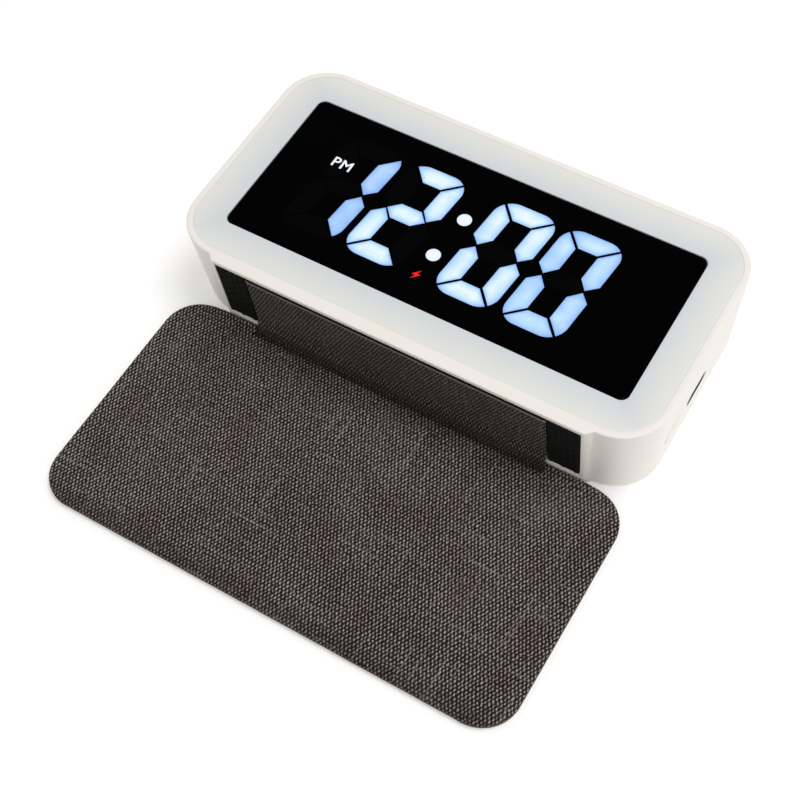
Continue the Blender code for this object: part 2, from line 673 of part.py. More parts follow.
def build_spine():
    inner, outer = SPINE_HALF + SEAM, RECESS_HALF - SEAM
    build_pad("anti_slip_pad_left", (-outer, -inner))
    build_pad("anti_slip_pad_right", (inner, outer))
    z = (RECESS_Z[0] + GAP, SPINE_TOP)
    block("spine_board", (-SPINE_HALF + 0.5, SPINE_HALF - 0.5), (CLOTH_T + GAP, PAD_DEPTH + SEAM),
          (z[0] + GAP, z[1] - GAP), "card", lean=BASE_LEAN)
    block("spine_cloth", (-SPINE_HALF, SPINE_HALF), (0.0, CLOTH_T), z, "cloth",
          lean=BASE_LEAN)
    band = [(base_plane(4.1, -0.35), 4.1), (base_plane(4.1, -0.7), 4.1),
            (-1.05, 2.4), (-1.5, 1.8), (HINGE_Y + GAP, 1.8), (HINGE_Y + GAP, 1.4),
            (-1.25, 1.4), (-0.75, 1.9)]
    extruded_outline("hinge_cloth", band, SPINE_HALF - 0.3, "cloth")


# ---- cover ------------------------------------------------------------------------------------
def cover_layer(name, z, kind, inset=0.0):
    """One layer of the cover, whose near edge is a little short of the fold line."""
    fold = bpy.data.objects["cover_fold_axis"]
    bm = block_mesh((-COVER_HALF + inset, COVER_HALF - inset),
                    (COVER_FAR_Y + inset, HINGE_Y - inset), z)
    middle_y = (COVER_FAR_Y + HINGE_Y) / 2
    upright = [e for e in bm.edges if abs((e.verts[0].co - e.verts[1].co).z) > 0.1]
    far = [e for e in upright if e.verts[0].co.y < middle_y]
    near = [e for e in upright if e.verts[0].co.y > middle_y]
    bmesh.ops.bevel(bm, geom=far, offset=COVER_R - inset, segments=8, profile=0.5,
                    affect="EDGES")
    bmesh.ops.bevel(bm, geom=near, offset=COVER_NEAR_R - inset, segments=8, profile=0.5,
                    affect="EDGES")
    bmesh.ops.translate(bm, vec=(0, -HINGE_Y, -HINGE_Z), verts=bm.verts)
    obj = finish_mesh(bm, name, kind)
    obj.parent = fold
    return obj


def build_cover():
    fold = bpy.data.objects.new("cover_fold_axis", None)
    fold.location = Vector((0.0, HINGE_Y, HINGE_Z)) * MM
    PARTS.objects.link(fold)
    cover_layer("cover_lining", (0.0, LINING_T), "lining")
    board = cover_layer("cover_board", COVER_BOARD_Z, "card", inset=2 * GAP)
    cover_layer("cover_cloth", (COVER_T - CLOTH_T, COVER_T), "cloth")
    for name, x in (("left", -MAGNET_X), ("right", MAGNET_X)):
        hole = rod(f"magnet_hole_{name}", (x, COVER_MAGNET_Y, COVER_BOARD_Z[0] - CUT_OVER),
                   MAGNET_R + SEAM, 2 * CUT_OVER + 0.5)
        cut(board, hole)
        magnet = rod(f"cover_magnet_{name}",
                     (x, COVER_MAGNET_Y - HINGE_Y, COVER_BOARD_Z[0] - HINGE_Z), MAGNET_R,
                     COVER_BOARD_Z[1] - COVER_BOARD_Z[0], "steel")
        magnet.parent = fold
        rod(f"body_magnet_{name}", (x, MAGNET_Y, REAR_T + GAP), MAGNET_R, 1.5, "steel")


build_housing()
build_front()
build_main_board()
build_ring_board()
build_power()
build_usb_socket()
build_speaker()
build_rear_controls()
build_side_control()
build_snooze()
build_back()
build_spine()
build_cover()
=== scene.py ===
import math

import bmesh
import bpy
from mathutils import Matrix, Vector


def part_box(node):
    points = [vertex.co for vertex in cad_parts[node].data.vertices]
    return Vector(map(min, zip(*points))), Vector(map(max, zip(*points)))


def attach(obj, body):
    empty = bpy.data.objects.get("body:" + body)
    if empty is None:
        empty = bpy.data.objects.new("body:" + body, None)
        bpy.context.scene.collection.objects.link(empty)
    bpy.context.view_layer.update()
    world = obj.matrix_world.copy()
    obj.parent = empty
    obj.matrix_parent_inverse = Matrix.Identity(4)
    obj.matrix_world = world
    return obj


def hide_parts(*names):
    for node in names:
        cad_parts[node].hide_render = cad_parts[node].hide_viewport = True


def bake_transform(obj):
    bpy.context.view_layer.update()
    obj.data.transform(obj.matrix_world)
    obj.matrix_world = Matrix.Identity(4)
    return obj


MM = 0.001
SENSOR_WIDTH = 36.0     # millimetres, full frame
FLAT_UNIT = 100.0       # millimetres of cloth to the unit of its UV map
SHARP_ANGLE = 32.0      # degrees from which an edge is drawn sharp

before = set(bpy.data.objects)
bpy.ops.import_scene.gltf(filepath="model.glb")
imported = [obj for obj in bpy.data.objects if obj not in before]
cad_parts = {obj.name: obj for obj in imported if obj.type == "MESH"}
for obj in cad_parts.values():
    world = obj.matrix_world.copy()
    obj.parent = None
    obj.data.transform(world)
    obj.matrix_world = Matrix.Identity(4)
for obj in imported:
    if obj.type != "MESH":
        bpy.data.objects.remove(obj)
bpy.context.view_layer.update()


# ---- sizes, in millimetres, in the frame of the CAD model ----
def box_mm(node):
    """Lowest and highest corner of a CAD node, in millimetres."""
    low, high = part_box(node)
    return Vector(low) / MM, Vector(high) / MM


housing_high = box_mm("housing")[1]
ring_low, ring_high = box_mm("light_ring")
window_low, window_high = box_mm("display_window")
rear_low, rear_high = box_mm("rear_cover")
cover_low, cover_high = box_mm("cover_cloth")
pad_low, pad_high = box_mm("anti_slip_pad_right")
spine_high = box_mm("spine_cloth")[1]
side_low, side_high = box_mm("side_button")
snooze_low, snooze_high = box_mm("snooze_button")
port_low, port_high = box_mm("usb_c_socket")

TOP = housing_high.z
BODY_HALF = housing_high.x
BODY_FAR = housing_high.y
DRAFT = 0.97            # how much the side and far walls lean in at the back
BASE_LEAN = 0.0835      # lean of the base side, per millimetre of height
WALL_NEAR = 1.5         # base wall at the corners; the frame stands proud by as much
CORNER_R = 10.8
RIM = 1.44
STEP_START, STEP_END = 43.45, 45.35
RECESS_HALF = 43.07
RECESS_DEPTH = 2.3
RECESS_Z = (4.1, 22.0)
PART_GAP = 0.3          # what CAD leaves between two pieces
POCKET_Z = ring_low.z - PART_GAP
CAVITY_BACK_Z = rear_high.z + PART_GAP
CAVITY_HALF, CAVITY_NEAR, CAVITY_FAR, CAVITY_R = 53.0, 4.0, 53.3, 8.0
REAR_POCKET_HALF, REAR_POCKET_R = 53.8, 8.8
WINDOW_POCKET_R = 1.9
PORT_HOLE = (9.3, 3.5)  # length and height of the holes in the walls
SIDE_HOLE = (7.2, 2.9)
SNOOZE_HOLE = (32.4, 6.8)
SIDE_CUT = (52.0, 58.0)     # from where to where their cutters go through the wall
FAR_CUT = (52.3, 58.3)
RECESS_CUT_NEAR = -4.0
SNOOZE_PLACE = (0.0, (snooze_low.z + snooze_high.z) / 2)
TOP_EDGE_R, BACK_EDGE_R = 0.35, 0.5
HOLE_EDGE = 0.14        # bevel of the edges that the cutters leave
HOLE_EDGE_ANGLE = 50.0
LIP_R = 0.16            # round of the light ring at the window
LEDGE_W, LEDGE_R = 1.4, 0.8     # ledge that the window lies on
BLUE_REACH = 7.2        # how far the window's blue reaches into the light ring
SEAM = 0.2
RING_SEAM = 0.02        # what shows of the seam round the light ring
RING_EDGE_R = 0.06      # round of both edges along that seam


# ---- nodes of the materials ----
def new_material(name, roughness, metallic=0.0, specular=0.5):
    """A material and its shader; uniform values are set on the shader."""
    made = bpy.data.materials.new(name)
    made.use_nodes = True
    shader = made.node_tree.nodes["Principled BSDF"]
    shader.inputs["Roughness"].default_value = roughness
    shader.inputs["Metallic"].default_value = metallic
    shader.inputs["Specular IOR Level"].default_value = specular
    return made, shader


def add_node(near, kind):
    """A new node in the tree of a node or socket."""
    return near.id_data.nodes.new(kind)


def feed(value, socket):
    """Gives a socket another node's output, or a plain value."""
    if isinstance(value, bpy.types.NodeSocket):
        socket.id_data.links.new(value, socket)
    else:
        socket.default_value = value


def calc(operation, *values):
    """The result of a Math node."""
    near = next(value for value in values if isinstance(value, bpy.types.NodeSocket))
    node = add_node(near, "ShaderNodeMath")
    node.operation = operation
    for value, socket in zip(values, node.inputs):
        feed(value, socket)
    return node.outputs[0]


def object_place(shader):
    """The place on the piece, in metres."""
    return add_node(shader, "ShaderNodeTexCoord").outputs["Object"]


def stretch(place, scale):
    node = add_node(place, "ShaderNodeMapping")
    feed(place, node.inputs["Vector"])
    node.inputs["Scale"].default_value = scale
    return node.outputs["Vector"]


def noise(place, scale, detail=3.0, roughness=0.55, distortion=0.0):
    node = add_node(place, "ShaderNodeTexNoise")
    feed(place, node.inputs["Vector"])
    node.inputs["Scale"].default_value = scale
    node.inputs["Detail"].default_value = detail
    node.inputs["Roughness"].default_value = roughness
    node.inputs["Distortion"].default_value = distortion
    return node.outputs["Fac"]


def ramp(factor, *stops):
    """A colour ramp from stops of a position and a colour."""
    node = add_node(factor, "ShaderNodeValToRGB")
    feed(factor, node.inputs["Fac"])
    elements = node.color_ramp.elements
    while len(elements) < len(stops):
        elements.new(0.5)
    for element, (position, colour) in zip(elements, stops):
        element.position = position
        element.color = (*colour, 1.0)
    return node.outputs["Color"]


def blend_colour(factor, first, second, mode="MIX"):
    node = add_node(factor, "ShaderNodeMix")
    node.data_type = "RGBA"
    node.blend_type = mode
    feed(factor, node.inputs["Factor"])
    for value, index in ((first, 6), (second, 7)):
        if not isinstance(value, bpy.types.NodeSocket):
            value = (*value, 1.0)
        feed(value, node.inputs[index])
    return node.outputs[2]


def remap(value, low, high, to_low=0.0, to_high=1.0):
    node = add_node(value, "ShaderNodeMapRange")
    node.interpolation_type = "SMOOTHSTEP"
    for number, socket in zip((value, low, high, to_low, to_high), node.inputs):
        feed(number, socket)
    return node.outputs["Result"]


def about_half(value, amount, base):
    """The base, plus the amount times how far a value is from a half."""
    return calc("MULTIPLY_ADD", calc("SUBTRACT", value, 0.5), amount, base)


def attribute(shader, name):
    """A number that each vertex carries."""
    node = add_node(shader, "ShaderNodeAttribute")
    node.attribute_name = name
    return node.outputs["Fac"]


def split(vector):
    """The X and the Y of a vector."""
    node = add_node(vector, "ShaderNodeSeparateXYZ")
    feed(vector, node.inputs[0])
    return node.outputs["X"], node.outputs["Y"]


def bump(shader, height, depth, strength=1.0):
    """Raises the surface by height times depth in millimetres."""
    node = add_node(shader, "ShaderNodeBump")
    node.inputs["Strength"].default_value = strength
    node.inputs["Distance"].default_value = depth * MM
    feed(height, node.inputs["Height"])
    feed(node.outputs["Normal"], shader.inputs["Normal"])


# ---- materials ----
def moulded_plastic(name, light, dark, roughness, grain=0.02, specular=0.4):
    """Spark-eroded plastic: a fine grain, and a faint cloudiness in its colour."""
    made, shader = new_material(name, roughness, specular=specular)
    place = object_place(shader)
    cloud = noise(place, 60.0, detail=2.0)
    feed(ramp(cloud, (0.3, dark), (0.7, light)), shader.inputs["Base Color"])
    spots = noise(place, 900.0)
    feed(remap(spots, 0.2, 0.8, roughness - 0.06, roughness + 0.08), shader.inputs["Roughness"])
    bump(shader, noise(place, 4200.0, detail=2.0), grain, 0.5)
    return made


def light_guide(name):
    """Milky plastic of the night light, a little bluer beside the display."""
    made, shader = new_material(name, 0.34, specular=0.45)
    place = object_place(shader)
    cloud = noise(place, 90.0, detail=2.0)
    mixed = about_half(cloud, 0.25, attribute(shader, "inward"))
    colour = ramp(mixed, (0.0, (0.74, 0.745, 0.71)), (0.45, (0.69, 0.705, 0.695)),
                  (1.0, (0.60, 0.64, 0.67)))
    feed(colour, shader.inputs["Base Color"])
    feed(colour, shader.inputs["Emission Color"])
    shader.inputs["Emission Strength"].default_value = 0.06
    bump(shader, noise(place, 3600.0, detail=2.0), 0.012, 0.4)
    return made


def dark_glass(name):
    """Black lens: glossy, with the faintest haze where it has been wiped."""
    made, shader = new_material(name, 0.12, specular=0.011)
    place = object_place(shader)
    wiped = noise(stretch(place, (40.0, 160.0, 40.0)), 1.0, distortion=1.2)
    feed(remap(wiped, 0.35, 0.75, 0.07, 0.17), shader.inputs["Roughness"])
    feed(ramp(wiped, (0.2, (0.0003, 0.0003, 0.0004)),
                        (0.9, (0.0007, 0.0007, 0.0009))), shader.inputs["Base Color"])
    return made


def lit_segment(name, stops):
    """Light of a segment: near white in the middle, bluer towards its outline."""
    made, shader = new_material(name, 0.6, specular=0.05)
    shader.inputs["Base Color"].default_value = (0.01, 0.01, 0.012, 1.0)
    cloud = noise(object_place(shader), 260.0, detail=1.0)
    level = about_half(cloud, 0.35, attribute(shader, "glow"))
    feed(ramp(level, *stops), shader.inputs["Emission Color"])
    shader.inputs["Emission Strength"].default_value = 1.0
    return made


def woven_cloth(name, light, dark, warm, length):
    """Coarse plain weave on the flat coordinates: light floats in a staggered pattern,
    slubs along both threads, warm patches, and fibres across the floats. It carries painted
    shade in the fold and up the spine, is darker along the far edge, and ends in a raw edge at
    the given length; beyond that edge it is painted dark as shade in the gap under the frame."""
    made, shader = new_material(name, 0.92, specular=0.12)
    shader.inputs["Sheen Weight"].default_value = 0.06
    shader.inputs["Sheen Roughness"].default_value = 0.5
    flat = add_node(shader, "ShaderNodeUVMap")
    flat.uv_map = "flat"
    place = stretch(flat.outputs["UV"], (FLAT_UNIT, FLAT_UNIT, FLAT_UNIT))
    wobble = noise(place, 0.7, detail=4.0, roughness=0.5).node.outputs["Color"]
    moved = add_node(place, "ShaderNodeVectorMath")
    moved.operation = "MULTIPLY_ADD"
    moved.inputs[1].default_value = (0.62, 0.9, 0.0)
    feed(wobble, moved.inputs[0])
    feed(place, moved.inputs[2])
    across, along = (calc("COSINE", calc("MULTIPLY", part, math.tau / step))
                     for part, step in zip(split(moved.outputs[0]), PITCH))
    floats = calc("MULTIPLY", across, along)
    size_noise = noise(place, 1.5, detail=3.0, roughness=0.7)
    floats = about_half(size_noise, 2.5, floats)
    raised = remap(floats, -0.25, 1.05)
    fibres = noise(stretch(place, (9.0, 2.5, 1.0)), 1.0, detail=3.0)
    weft = noise(stretch(place, (0.045, 2.1, 1.0)), 1.0, detail=1.0)
    warp = noise(stretch(place, (2.1, 0.045, 1.0)), 1.0, detail=1.0)
    slubs = calc("ADD", remap(weft, 0.64, 0.74), remap(warp, 0.65, 0.75))
    worn = noise(place, 0.035, detail=3.0)
    shade = about_half(fibres, 0.45, raised)
    shade = calc("MULTIPLY_ADD", slubs, 0.34, shade)
    shade = about_half(worn, 0.38, shade)
    mid = tuple(0.58 * d + 0.42 * l for d, l in zip(dark, light))
    colour = ramp(shade, (0.05, dark), (0.55, mid), (1.0, light))
    patches = remap(noise(place, 0.11, detail=3.0), 0.46, 0.68, 0.0, 0.7)
    colour = blend_colour(patches, colour, warm, "MULTIPLY")
    flat_x, flat_y = split(place)
    # darker towards the far edge
    far_edge_darkening = remap(flat_y, COVER_FAR + 1.0, COVER_FAR + 5.0, 0.35, 0.0)
    colour = blend_colour(far_edge_darkening, colour, dark)
    # painted shade: darker in the fold's valley and up the spine, which faces away from the light
    painted_fold_and_spine_shade = calc("MULTIPLY", remap(flat_y, -3.4, -2.1), remap(flat_y, -0.4, 1.6, 1.0, 0.62))
    in_band = remap(calc("ABSOLUTE", flat_x), BAND_HALF, STRIP_HALF, 0.74, 0.0)
    colour = blend_colour(calc("MULTIPLY", painted_fold_and_spine_shade, in_band), colour, dark)
    # painted shade: the cloth beyond its raw edge, tucked into the gap under the frame, is coloured
    # dark
    painted_gap_shade = remap(flat_y, length + 0.10, length + 0.22)
    colour = blend_colour(painted_gap_shade, colour, dark)
    frayed = calc("MULTIPLY", calc("SUBTRACT", 1.0, painted_gap_shade),
                  remap(flat_y, length - 0.6, length - 0.35))
    colour = blend_colour(frayed, colour, RAW_EDGE)
    feed(colour, shader.inputs["Base Color"])
    height = calc("MULTIPLY_ADD", fibres, 0.35, raised)
    height = calc("MULTIPLY_ADD", slubs, 0.4, height)
    bump(shader, height, 0.19, 1.0)
    return made


def fine_weave(name, light, dark):
    """Smooth lining with a fine rib and slight blotches."""
    made, shader = new_material(name, 0.8, specular=0.2)
    place = object_place(shader)
    wave = add_node(shader, "ShaderNodeTexWave")
    wave.inputs["Scale"].default_value = 700.0
    wave.inputs["Distortion"].default_value = 1.5
    feed(place, wave.inputs["Vector"])
    blotch = noise(place, 140.0)
    mixed = calc("MULTIPLY_ADD", wave.outputs["Fac"], 0.3, blotch)
    feed(ramp(mixed, (0.3, dark), (0.9, light)), shader.inputs["Base Color"])
    bump(shader, wave.outputs["Fac"], 0.03, 0.6)
    return made


def rubber(name):
    made, shader = new_material(name, 0.75, specular=0.13)
    place = object_place(shader)
    dust = noise(place, 1500.0)
    feed(ramp(dust, (0.3, (0.004, 0.004, 0.004)), (0.85, (0.011, 0.011, 0.010))),
                   shader.inputs["Base Color"])
    bump(shader, noise(place, 5000.0), 0.02, 0.5)
    return made


def brushed_metal(name, light, dark, roughness):
    made, shader = new_material(name, roughness, metallic=1.0)
    place = object_place(shader)
    lines = noise(stretch(place, (300.0, 4000.0, 4000.0)), 1.0)
    feed(ramp(lines, (0.25, dark), (0.8, light)), shader.inputs["Base Color"])
    feed(remap(lines, 0.2, 0.8, roughness - 0.08, roughness + 0.1), shader.inputs["Roughness"])
    bump(shader, lines, 0.004, 0.4)
    return made


def circuit_board(name):
    """Green solder mask with copper runs under it."""
    made, shader = new_material(name, 0.4)
    place = object_place(shader)
    runs = add_node(shader, "ShaderNodeTexBrick")
    runs.inputs["Scale"].default_value = 260.0
    runs.inputs["Mortar Size"].default_value = 0.03
    runs.inputs["Color1"].default_value = (0.008, 0.085, 0.03, 1.0)
    runs.inputs["Color2"].default_value = (0.010, 0.100, 0.038, 1.0)
    runs.inputs["Mortar"].default_value = (0.020, 0.170, 0.065, 1.0)
    feed(place, runs.inputs["Vector"])
    feed(runs.outputs["Color"], shader.inputs["Base Color"])
    bump(shader, runs.outputs["Fac"], 0.03, 0.5)
    return made


shell_plastic = moulded_plastic("shell", (0.89, 0.855, 0.81), (0.87, 0.83, 0.78), 0.42)
button_plastic = moulded_plastic("button", (0.86, 0.82, 0.77), (0.84, 0.795, 0.74), 0.38)
diffuser_plastic = light_guide("diffuser")
window_glass = dark_glass("window")
reflector_plastic = moulded_plastic("digit", (0.80, 0.82, 0.86), (0.75, 0.77, 0.80), 0.5)
segment_light = lit_segment("digit_light", ((0.0, (0.17, 0.33, 0.84)),
                                            (0.3, (0.31, 0.52, 0.96)),
                                            (0.65, (0.52, 0.77, 1.0)),
                                            (0.95, (0.84, 0.96, 0.985))))
white_light = lit_segment("mark_light", ((0.0, (0.72, 0.82, 0.95)), (1.0, (0.92, 0.96, 1.0))))
charge_light = lit_segment("charge_light", ((0.0, (0.80, 0.0, 0.004)), (1.0, (1.0, 0.015, 0.01))))
pad_rubber = rubber("rubber")
lining_fabric = fine_weave("lining", (0.66, 0.60, 0.54), (0.52, 0.47, 0.42))
board_laminate = circuit_board("board")
grey_card = moulded_plastic("card", (0.30, 0.27, 0.23), (0.21, 0.185, 0.16), 0.85, 0.05)
socket_metal = brushed_metal("socket_steel", (0.16, 0.16, 0.17), (0.08, 0.08, 0.085), 0.5)
# near-black steel: painted shade for the inside of the port's slot
painted_shade_mouth_metal = brushed_metal("socket_mouth_painted_shade", (0.030, 0.030, 0.033), (0.012, 0.012, 0.014), 0.55)
steel = brushed_metal("steel", (0.70, 0.70, 0.72), (0.48, 0.48, 0.50), 0.3)
black_plastic = moulded_plastic("black_plastic", (0.022, 0.022, 0.022), (0.014, 0.014, 0.015), 0.5)
cell_wrap = brushed_metal("cell", (0.36, 0.40, 0.46), (0.24, 0.27, 0.32), 0.4)
lead_plastic = moulded_plastic("lead", (0.52, 0.02, 0.02), (0.38, 0.015, 0.015), 0.5)


# ---- building pieces ----
def add_piece(name, bm, material, body, sharp=SHARP_ANGLE):
    """Makes a piece of a mesh in millimetres and puts it on a body."""
    bmesh.ops.scale(bm, vec=(MM, MM, MM), verts=bm.verts)
    mesh = bpy.data.meshes.new(name)
    bm.to_mesh(mesh)
    bm.free()
    mesh.materials.append(material)
    mesh.shade_smooth()
    mesh.set_sharp_from_angle(angle=math.radians(sharp))
    obj = bpy.data.objects.new(name, mesh)
    bpy.context.scene.collection.objects.link(obj)
    if body:
        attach(obj, body)
    return obj


def bridge(bm, lower, upper):
    """Faces between two rows of vertices."""
    for i in range(len(lower) - 1):
        bm.faces.new((lower[i], lower[i + 1], upper[i + 1], upper[i]))


def bridge_loop(bm, lower, upper):
    """Faces between two closed loops of vertices."""
    bridge(bm, [*lower, lower[0]], [*upper, upper[0]])


def skin(rings, cyclic=False, bm=None):
    """A skin through rings of equal length, closed on itself or by end faces."""
    if bm is None:
        bm = bmesh.new()
    made = [[bm.verts.new(point) for point in ring] for ring in rings]
    for lower, upper in zip(made, made[1:]):
        bridge_loop(bm, lower, upper)
    if cyclic:
        bridge_loop(bm, made[-1], made[0])
    else:
        bm.faces.new(made[0])
        bm.faces.new(made[-1])
    bmesh.ops.recalc_face_normals(bm, faces=bm.faces)
    return bm


def side_marks(steps, close):
    """Fractions from -1 to 1 along a straight side, closer together at its ends."""
    inner = [-1 + 2 * i / steps for i in range(1, steps)]
    ends = [1 - 0.006 * k for k in range(close)]
    return sorted({-e for e in ends} | set(ends) | {m for m in inner if abs(m) < min(ends) - 0.01})


LONG_MARKS = side_marks(24, 9)
SHORT_MARKS = side_marks(6, 1)
CORNER_STEPS = 24


def rounded_outline(half, near, far, radius):
    """Outline of a rounded rectangle about x = 0, anticlockwise from its near left."""
    flat, points = half - radius, []
    turn = math.pi / 2 / CORNER_STEPS
    low, high = near + radius, far - radius

    def corner(x, y, start):
        for i in range(1, CORNER_STEPS):
            angle = start + turn * i
            points.append((x + radius * math.cos(angle), y + radius * math.sin(angle)))

    points.extend((flat * m, near) for m in LONG_MARKS)
    corner(flat, low, -math.pi / 2)
    points.extend((half, (low + high) / 2 + (high - low) / 2 * m) for m in SHORT_MARKS)
    corner(flat, high, 0.0)
    points.extend((-flat * m, far) for m in LONG_MARKS)
    corner(-flat, high, math.pi / 2)
    points.extend((-half, (low + high) / 2 - (high - low) / 2 * m) for m in SHORT_MARKS)
    corner(-flat, low, math.pi)
    return points


def grown_outline(half, near, far, radius, grown):
    """A rounded rectangle with each side moved out by the same distance."""
    return rounded_outline(half + grown, near - grown, far + grown, radius + grown)


def at_height(outline, z):
    return [(x, y, z) for x, y in outline]


def circle_round(x, y, radius, sides):
    angles = [math.tau * i / sides for i in range(sides)]
    return [(x + radius * math.cos(a), y + radius * math.sin(a)) for a in angles]


def fillet(radius, steps=5):
    """Pairs of inset and drop round an outer edge, from its top to its wall."""
    angles = [math.pi / 2 * i / steps for i in range(steps + 1)]
    return [(radius * (1 - math.sin(a)), radius * (1 - math.cos(a))) for a in angles]


def smooth_step(value, low, high):
    share = min(max((value - low) / (high - low), 0.0), 1.0)
    return share * share * (3 - 2 * share)


def housing_ring(z, inset):
    """Outer outline of the housing at a height, with the raised frame on the base side."""
    lean_in = DRAFT * (1 - z / TOP)
    near = WALL_NEAR - BASE_LEAN * z + inset
    half = BODY_HALF - lean_in - inset
    radius = CORNER_R - inset
    ring = []
    for x, y in rounded_outline(half, near, BODY_FAR - lean_in - inset, radius):
        if y < near + radius:
            y -= WALL_NEAR * (1 - smooth_step(abs(x), STEP_START, STEP_END))
        ring.append((x, y, z))
    return ring


def wall_place(low, high):
    """Middle of a node in a side wall, as its y and z."""
    return (low.y + high.y) / 2, (low.z + high.z) / 2


HALF_TURN_STEPS = 12


def stadium(length, height):
    """Outline of a bar with round ends, length along the first axis."""
    radius, flat = height / 2, (length - height) / 2
    points = []
    for side, start in ((1, -math.pi / 2), (-1, math.pi / 2)):
        for i in range(HALF_TURN_STEPS + 1):
            angle = start + math.pi * i / HALF_TURN_STEPS
            points.append((side * flat + radius * math.cos(angle), radius * math.sin(angle)))
    return points


def bar_rings(centre, length, height, levels, axis):
    """Rings of a round-ended bar; levels are pairs of inset and distance along the axis."""
    rings = []
    for inset, depth in levels:
        ring = []
        for a, b in stadium(length - 2 * inset, height - 2 * inset):
            beside, height_z = centre[0] + a, centre[1] + b
            ring.append((depth, beside, height_z) if axis == "X" else (beside, depth, height_z))
        rings.append(ring)
    return rings


def apply_modifiers(obj):
    graph = bpy.context.evaluated_depsgraph_get()
    result = bpy.data.meshes.new_from_object(obj.evaluated_get(graph), depsgraph=graph)
    obj.modifiers.clear()
    obj.data = result
    result.set_sharp_from_angle(angle=math.radians(SHARP_ANGLE))


# ---- housing ----
def build_housing():
    rings = []
    for inset, drop in reversed(fillet(TOP_EDGE_R)):
        rings.append(housing_ring(TOP - drop, inset))
    pocket = (BODY_HALF - RIM, ring_low.y - SEAM, ring_high.y + SEAM, CORNER_R - RIM)
    for inset, drop in fillet(RING_EDGE_R, 3):
        rings.append(at_height(grown_outline(*pocket, inset), TOP - drop))
    rings.append(at_height(rounded_outline(*pocket), POCKET_Z))
    for z in (POCKET_Z, CAVITY_BACK_Z):
        outline = rounded_outline(CAVITY_HALF, CAVITY_NEAR - BASE_LEAN * z, CAVITY_FAR, CAVITY_R)
        rings.append(at_height(outline, z))
    for z in (CAVITY_BACK_Z, 0.0):
        outline = rounded_outline(REAR_POCKET_HALF, rear_low.y - SEAM, rear_high.y + SEAM,
                                  REAR_POCKET_R)
        rings.append(at_height(outline, z))
    for inset, rise in fillet(BACK_EDGE_R):
        rings.append(housing_ring(rise, inset))
    housing = add_piece("clock_housing", skin(rings, cyclic=True), shell_plastic, "clock")

    recess = bmesh.new()
    bmesh.ops.create_cube(recess, size=1.0)
    for v in recess.verts:
        z = RECESS_Z[1] if v.co.z > 0 else RECESS_Z[0]
        depth = RECESS_DEPTH if v.co.y > 0 else RECESS_CUT_NEAR
        v.co = Vector((math.copysign(RECESS_HALF, v.co.x), depth - BASE_LEAN * z, z))
    holes = [add_piece("recess_cut", recess, shell_plastic, None)]
    for name, centre, size, cut, axis in (
            ("port_cut", wall_place(port_low, port_high), PORT_HOLE, SIDE_CUT, "X"),
            ("side_cut", wall_place(side_low, side_high), SIDE_HOLE, SIDE_CUT, "X"),
            ("far_cut", SNOOZE_PLACE, SNOOZE_HOLE, FAR_CUT, "Y")):
        bar = skin(bar_rings(centre, *size, [(0, end) for end in cut], axis))
        holes.append(add_piece(name, bar, shell_plastic, None))
    for hole in holes:
        modifier = housing.modifiers.new(hole.name, "BOOLEAN")
        modifier.operation = "DIFFERENCE"
        modifier.solver = "EXACT"
        modifier.object = hole
    soft = housing.modifiers.new("soft_edges", "BEVEL")
    soft.width = HOLE_EDGE * MM
    soft.segments = 2
    soft.limit_method = "ANGLE"
    soft.angle_limit = math.radians(HOLE_EDGE_ANGLE)
    apply_modifiers(housing)
    for hole in holes:
        bpy.data.objects.remove(hole)
    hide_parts("housing")


def build_port_shell():
    """Steel mouth of the socket, from its front to just inside the wall; its near-black colour is
    painted shade inside the slot.
    """
    centre = wall_place(port_low, port_high)
    wall = BODY_HALF - DRAFT * (1 - (centre[1] - PORT_HOLE[1] / 2) / TOP)
    inside, outside = port_high.x + 0.05, wall - 0.1
    loop = ((0.04, inside), (0.04, outside - 0.05), (0.09, outside), (0.30, outside),
            (0.35, outside - 0.05), (0.35, inside))
    add_piece("socket_shell", skin(bar_rings(centre, *PORT_HOLE, loop, "X"), cyclic=True),
              painted_shade_mouth_metal, "clock")


# ---- light ring, window and what shines through it ----
def build_ring():
    top, bottom = ring_high.z, ring_low.z
    wider = SEAM - RING_SEAM
    outer = (ring_high.x + wider, ring_low.y - wider, ring_high.y + wider,
             CORNER_R - RIM - RING_SEAM)
    middle = (window_low.y + window_high.y) / 2
    hole_half = window_high.x + SEAM
    hole_tall = (window_high.y - window_low.y) / 2 + SEAM
    hole = (hole_half, middle - hole_tall, middle + hole_tall, WINDOW_POCKET_R)
    rings = [at_height(rounded_outline(*outer), bottom)]
    for inset, drop in reversed(fillet(RING_EDGE_R, 3)):
        rings.append(at_height(grown_outline(*outer, -inset), top - drop))
    edge = grown_outline(*outer, -RING_EDGE_R)
    lip = grown_outline(*hole, LIP_R)
    for share in (0.06, 0.15, 0.3, 0.45, 0.6, 0.75, 0.9):
        rings.append([((1 - share) * a[0] + share * b[0], (1 - share) * a[1] + share * b[1], top)
                      for a, b in zip(edge, lip)])
    for inset, drop in fillet(LIP_R, 3):
        rings.append(at_height(grown_outline(*hole, inset), top - drop))
    inner = rounded_outline(hole_half - LEDGE_W, hole[1] + LEDGE_W, hole[2] - LEDGE_W, LEDGE_R)
    rings.append(at_height(rounded_outline(*hole), window_low.z - SEAM))
    rings.append(at_height(inner, window_low.z - SEAM))
    rings.append(at_height(inner, bottom))
    bm = skin(rings, cyclic=True)
    inward = bm.verts.layers.float.new("inward")
    for v in bm.verts:
        beside = max(abs(v.co.x) - hole_half, abs(v.co.y - middle) - hole_tall, 0.0)
        v[inward] = 1 - min(beside / BLUE_REACH, 1.0)
    ring = add_piece("night_light_ring", bm, diffuser_plastic, "clock")
    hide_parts("light_ring")


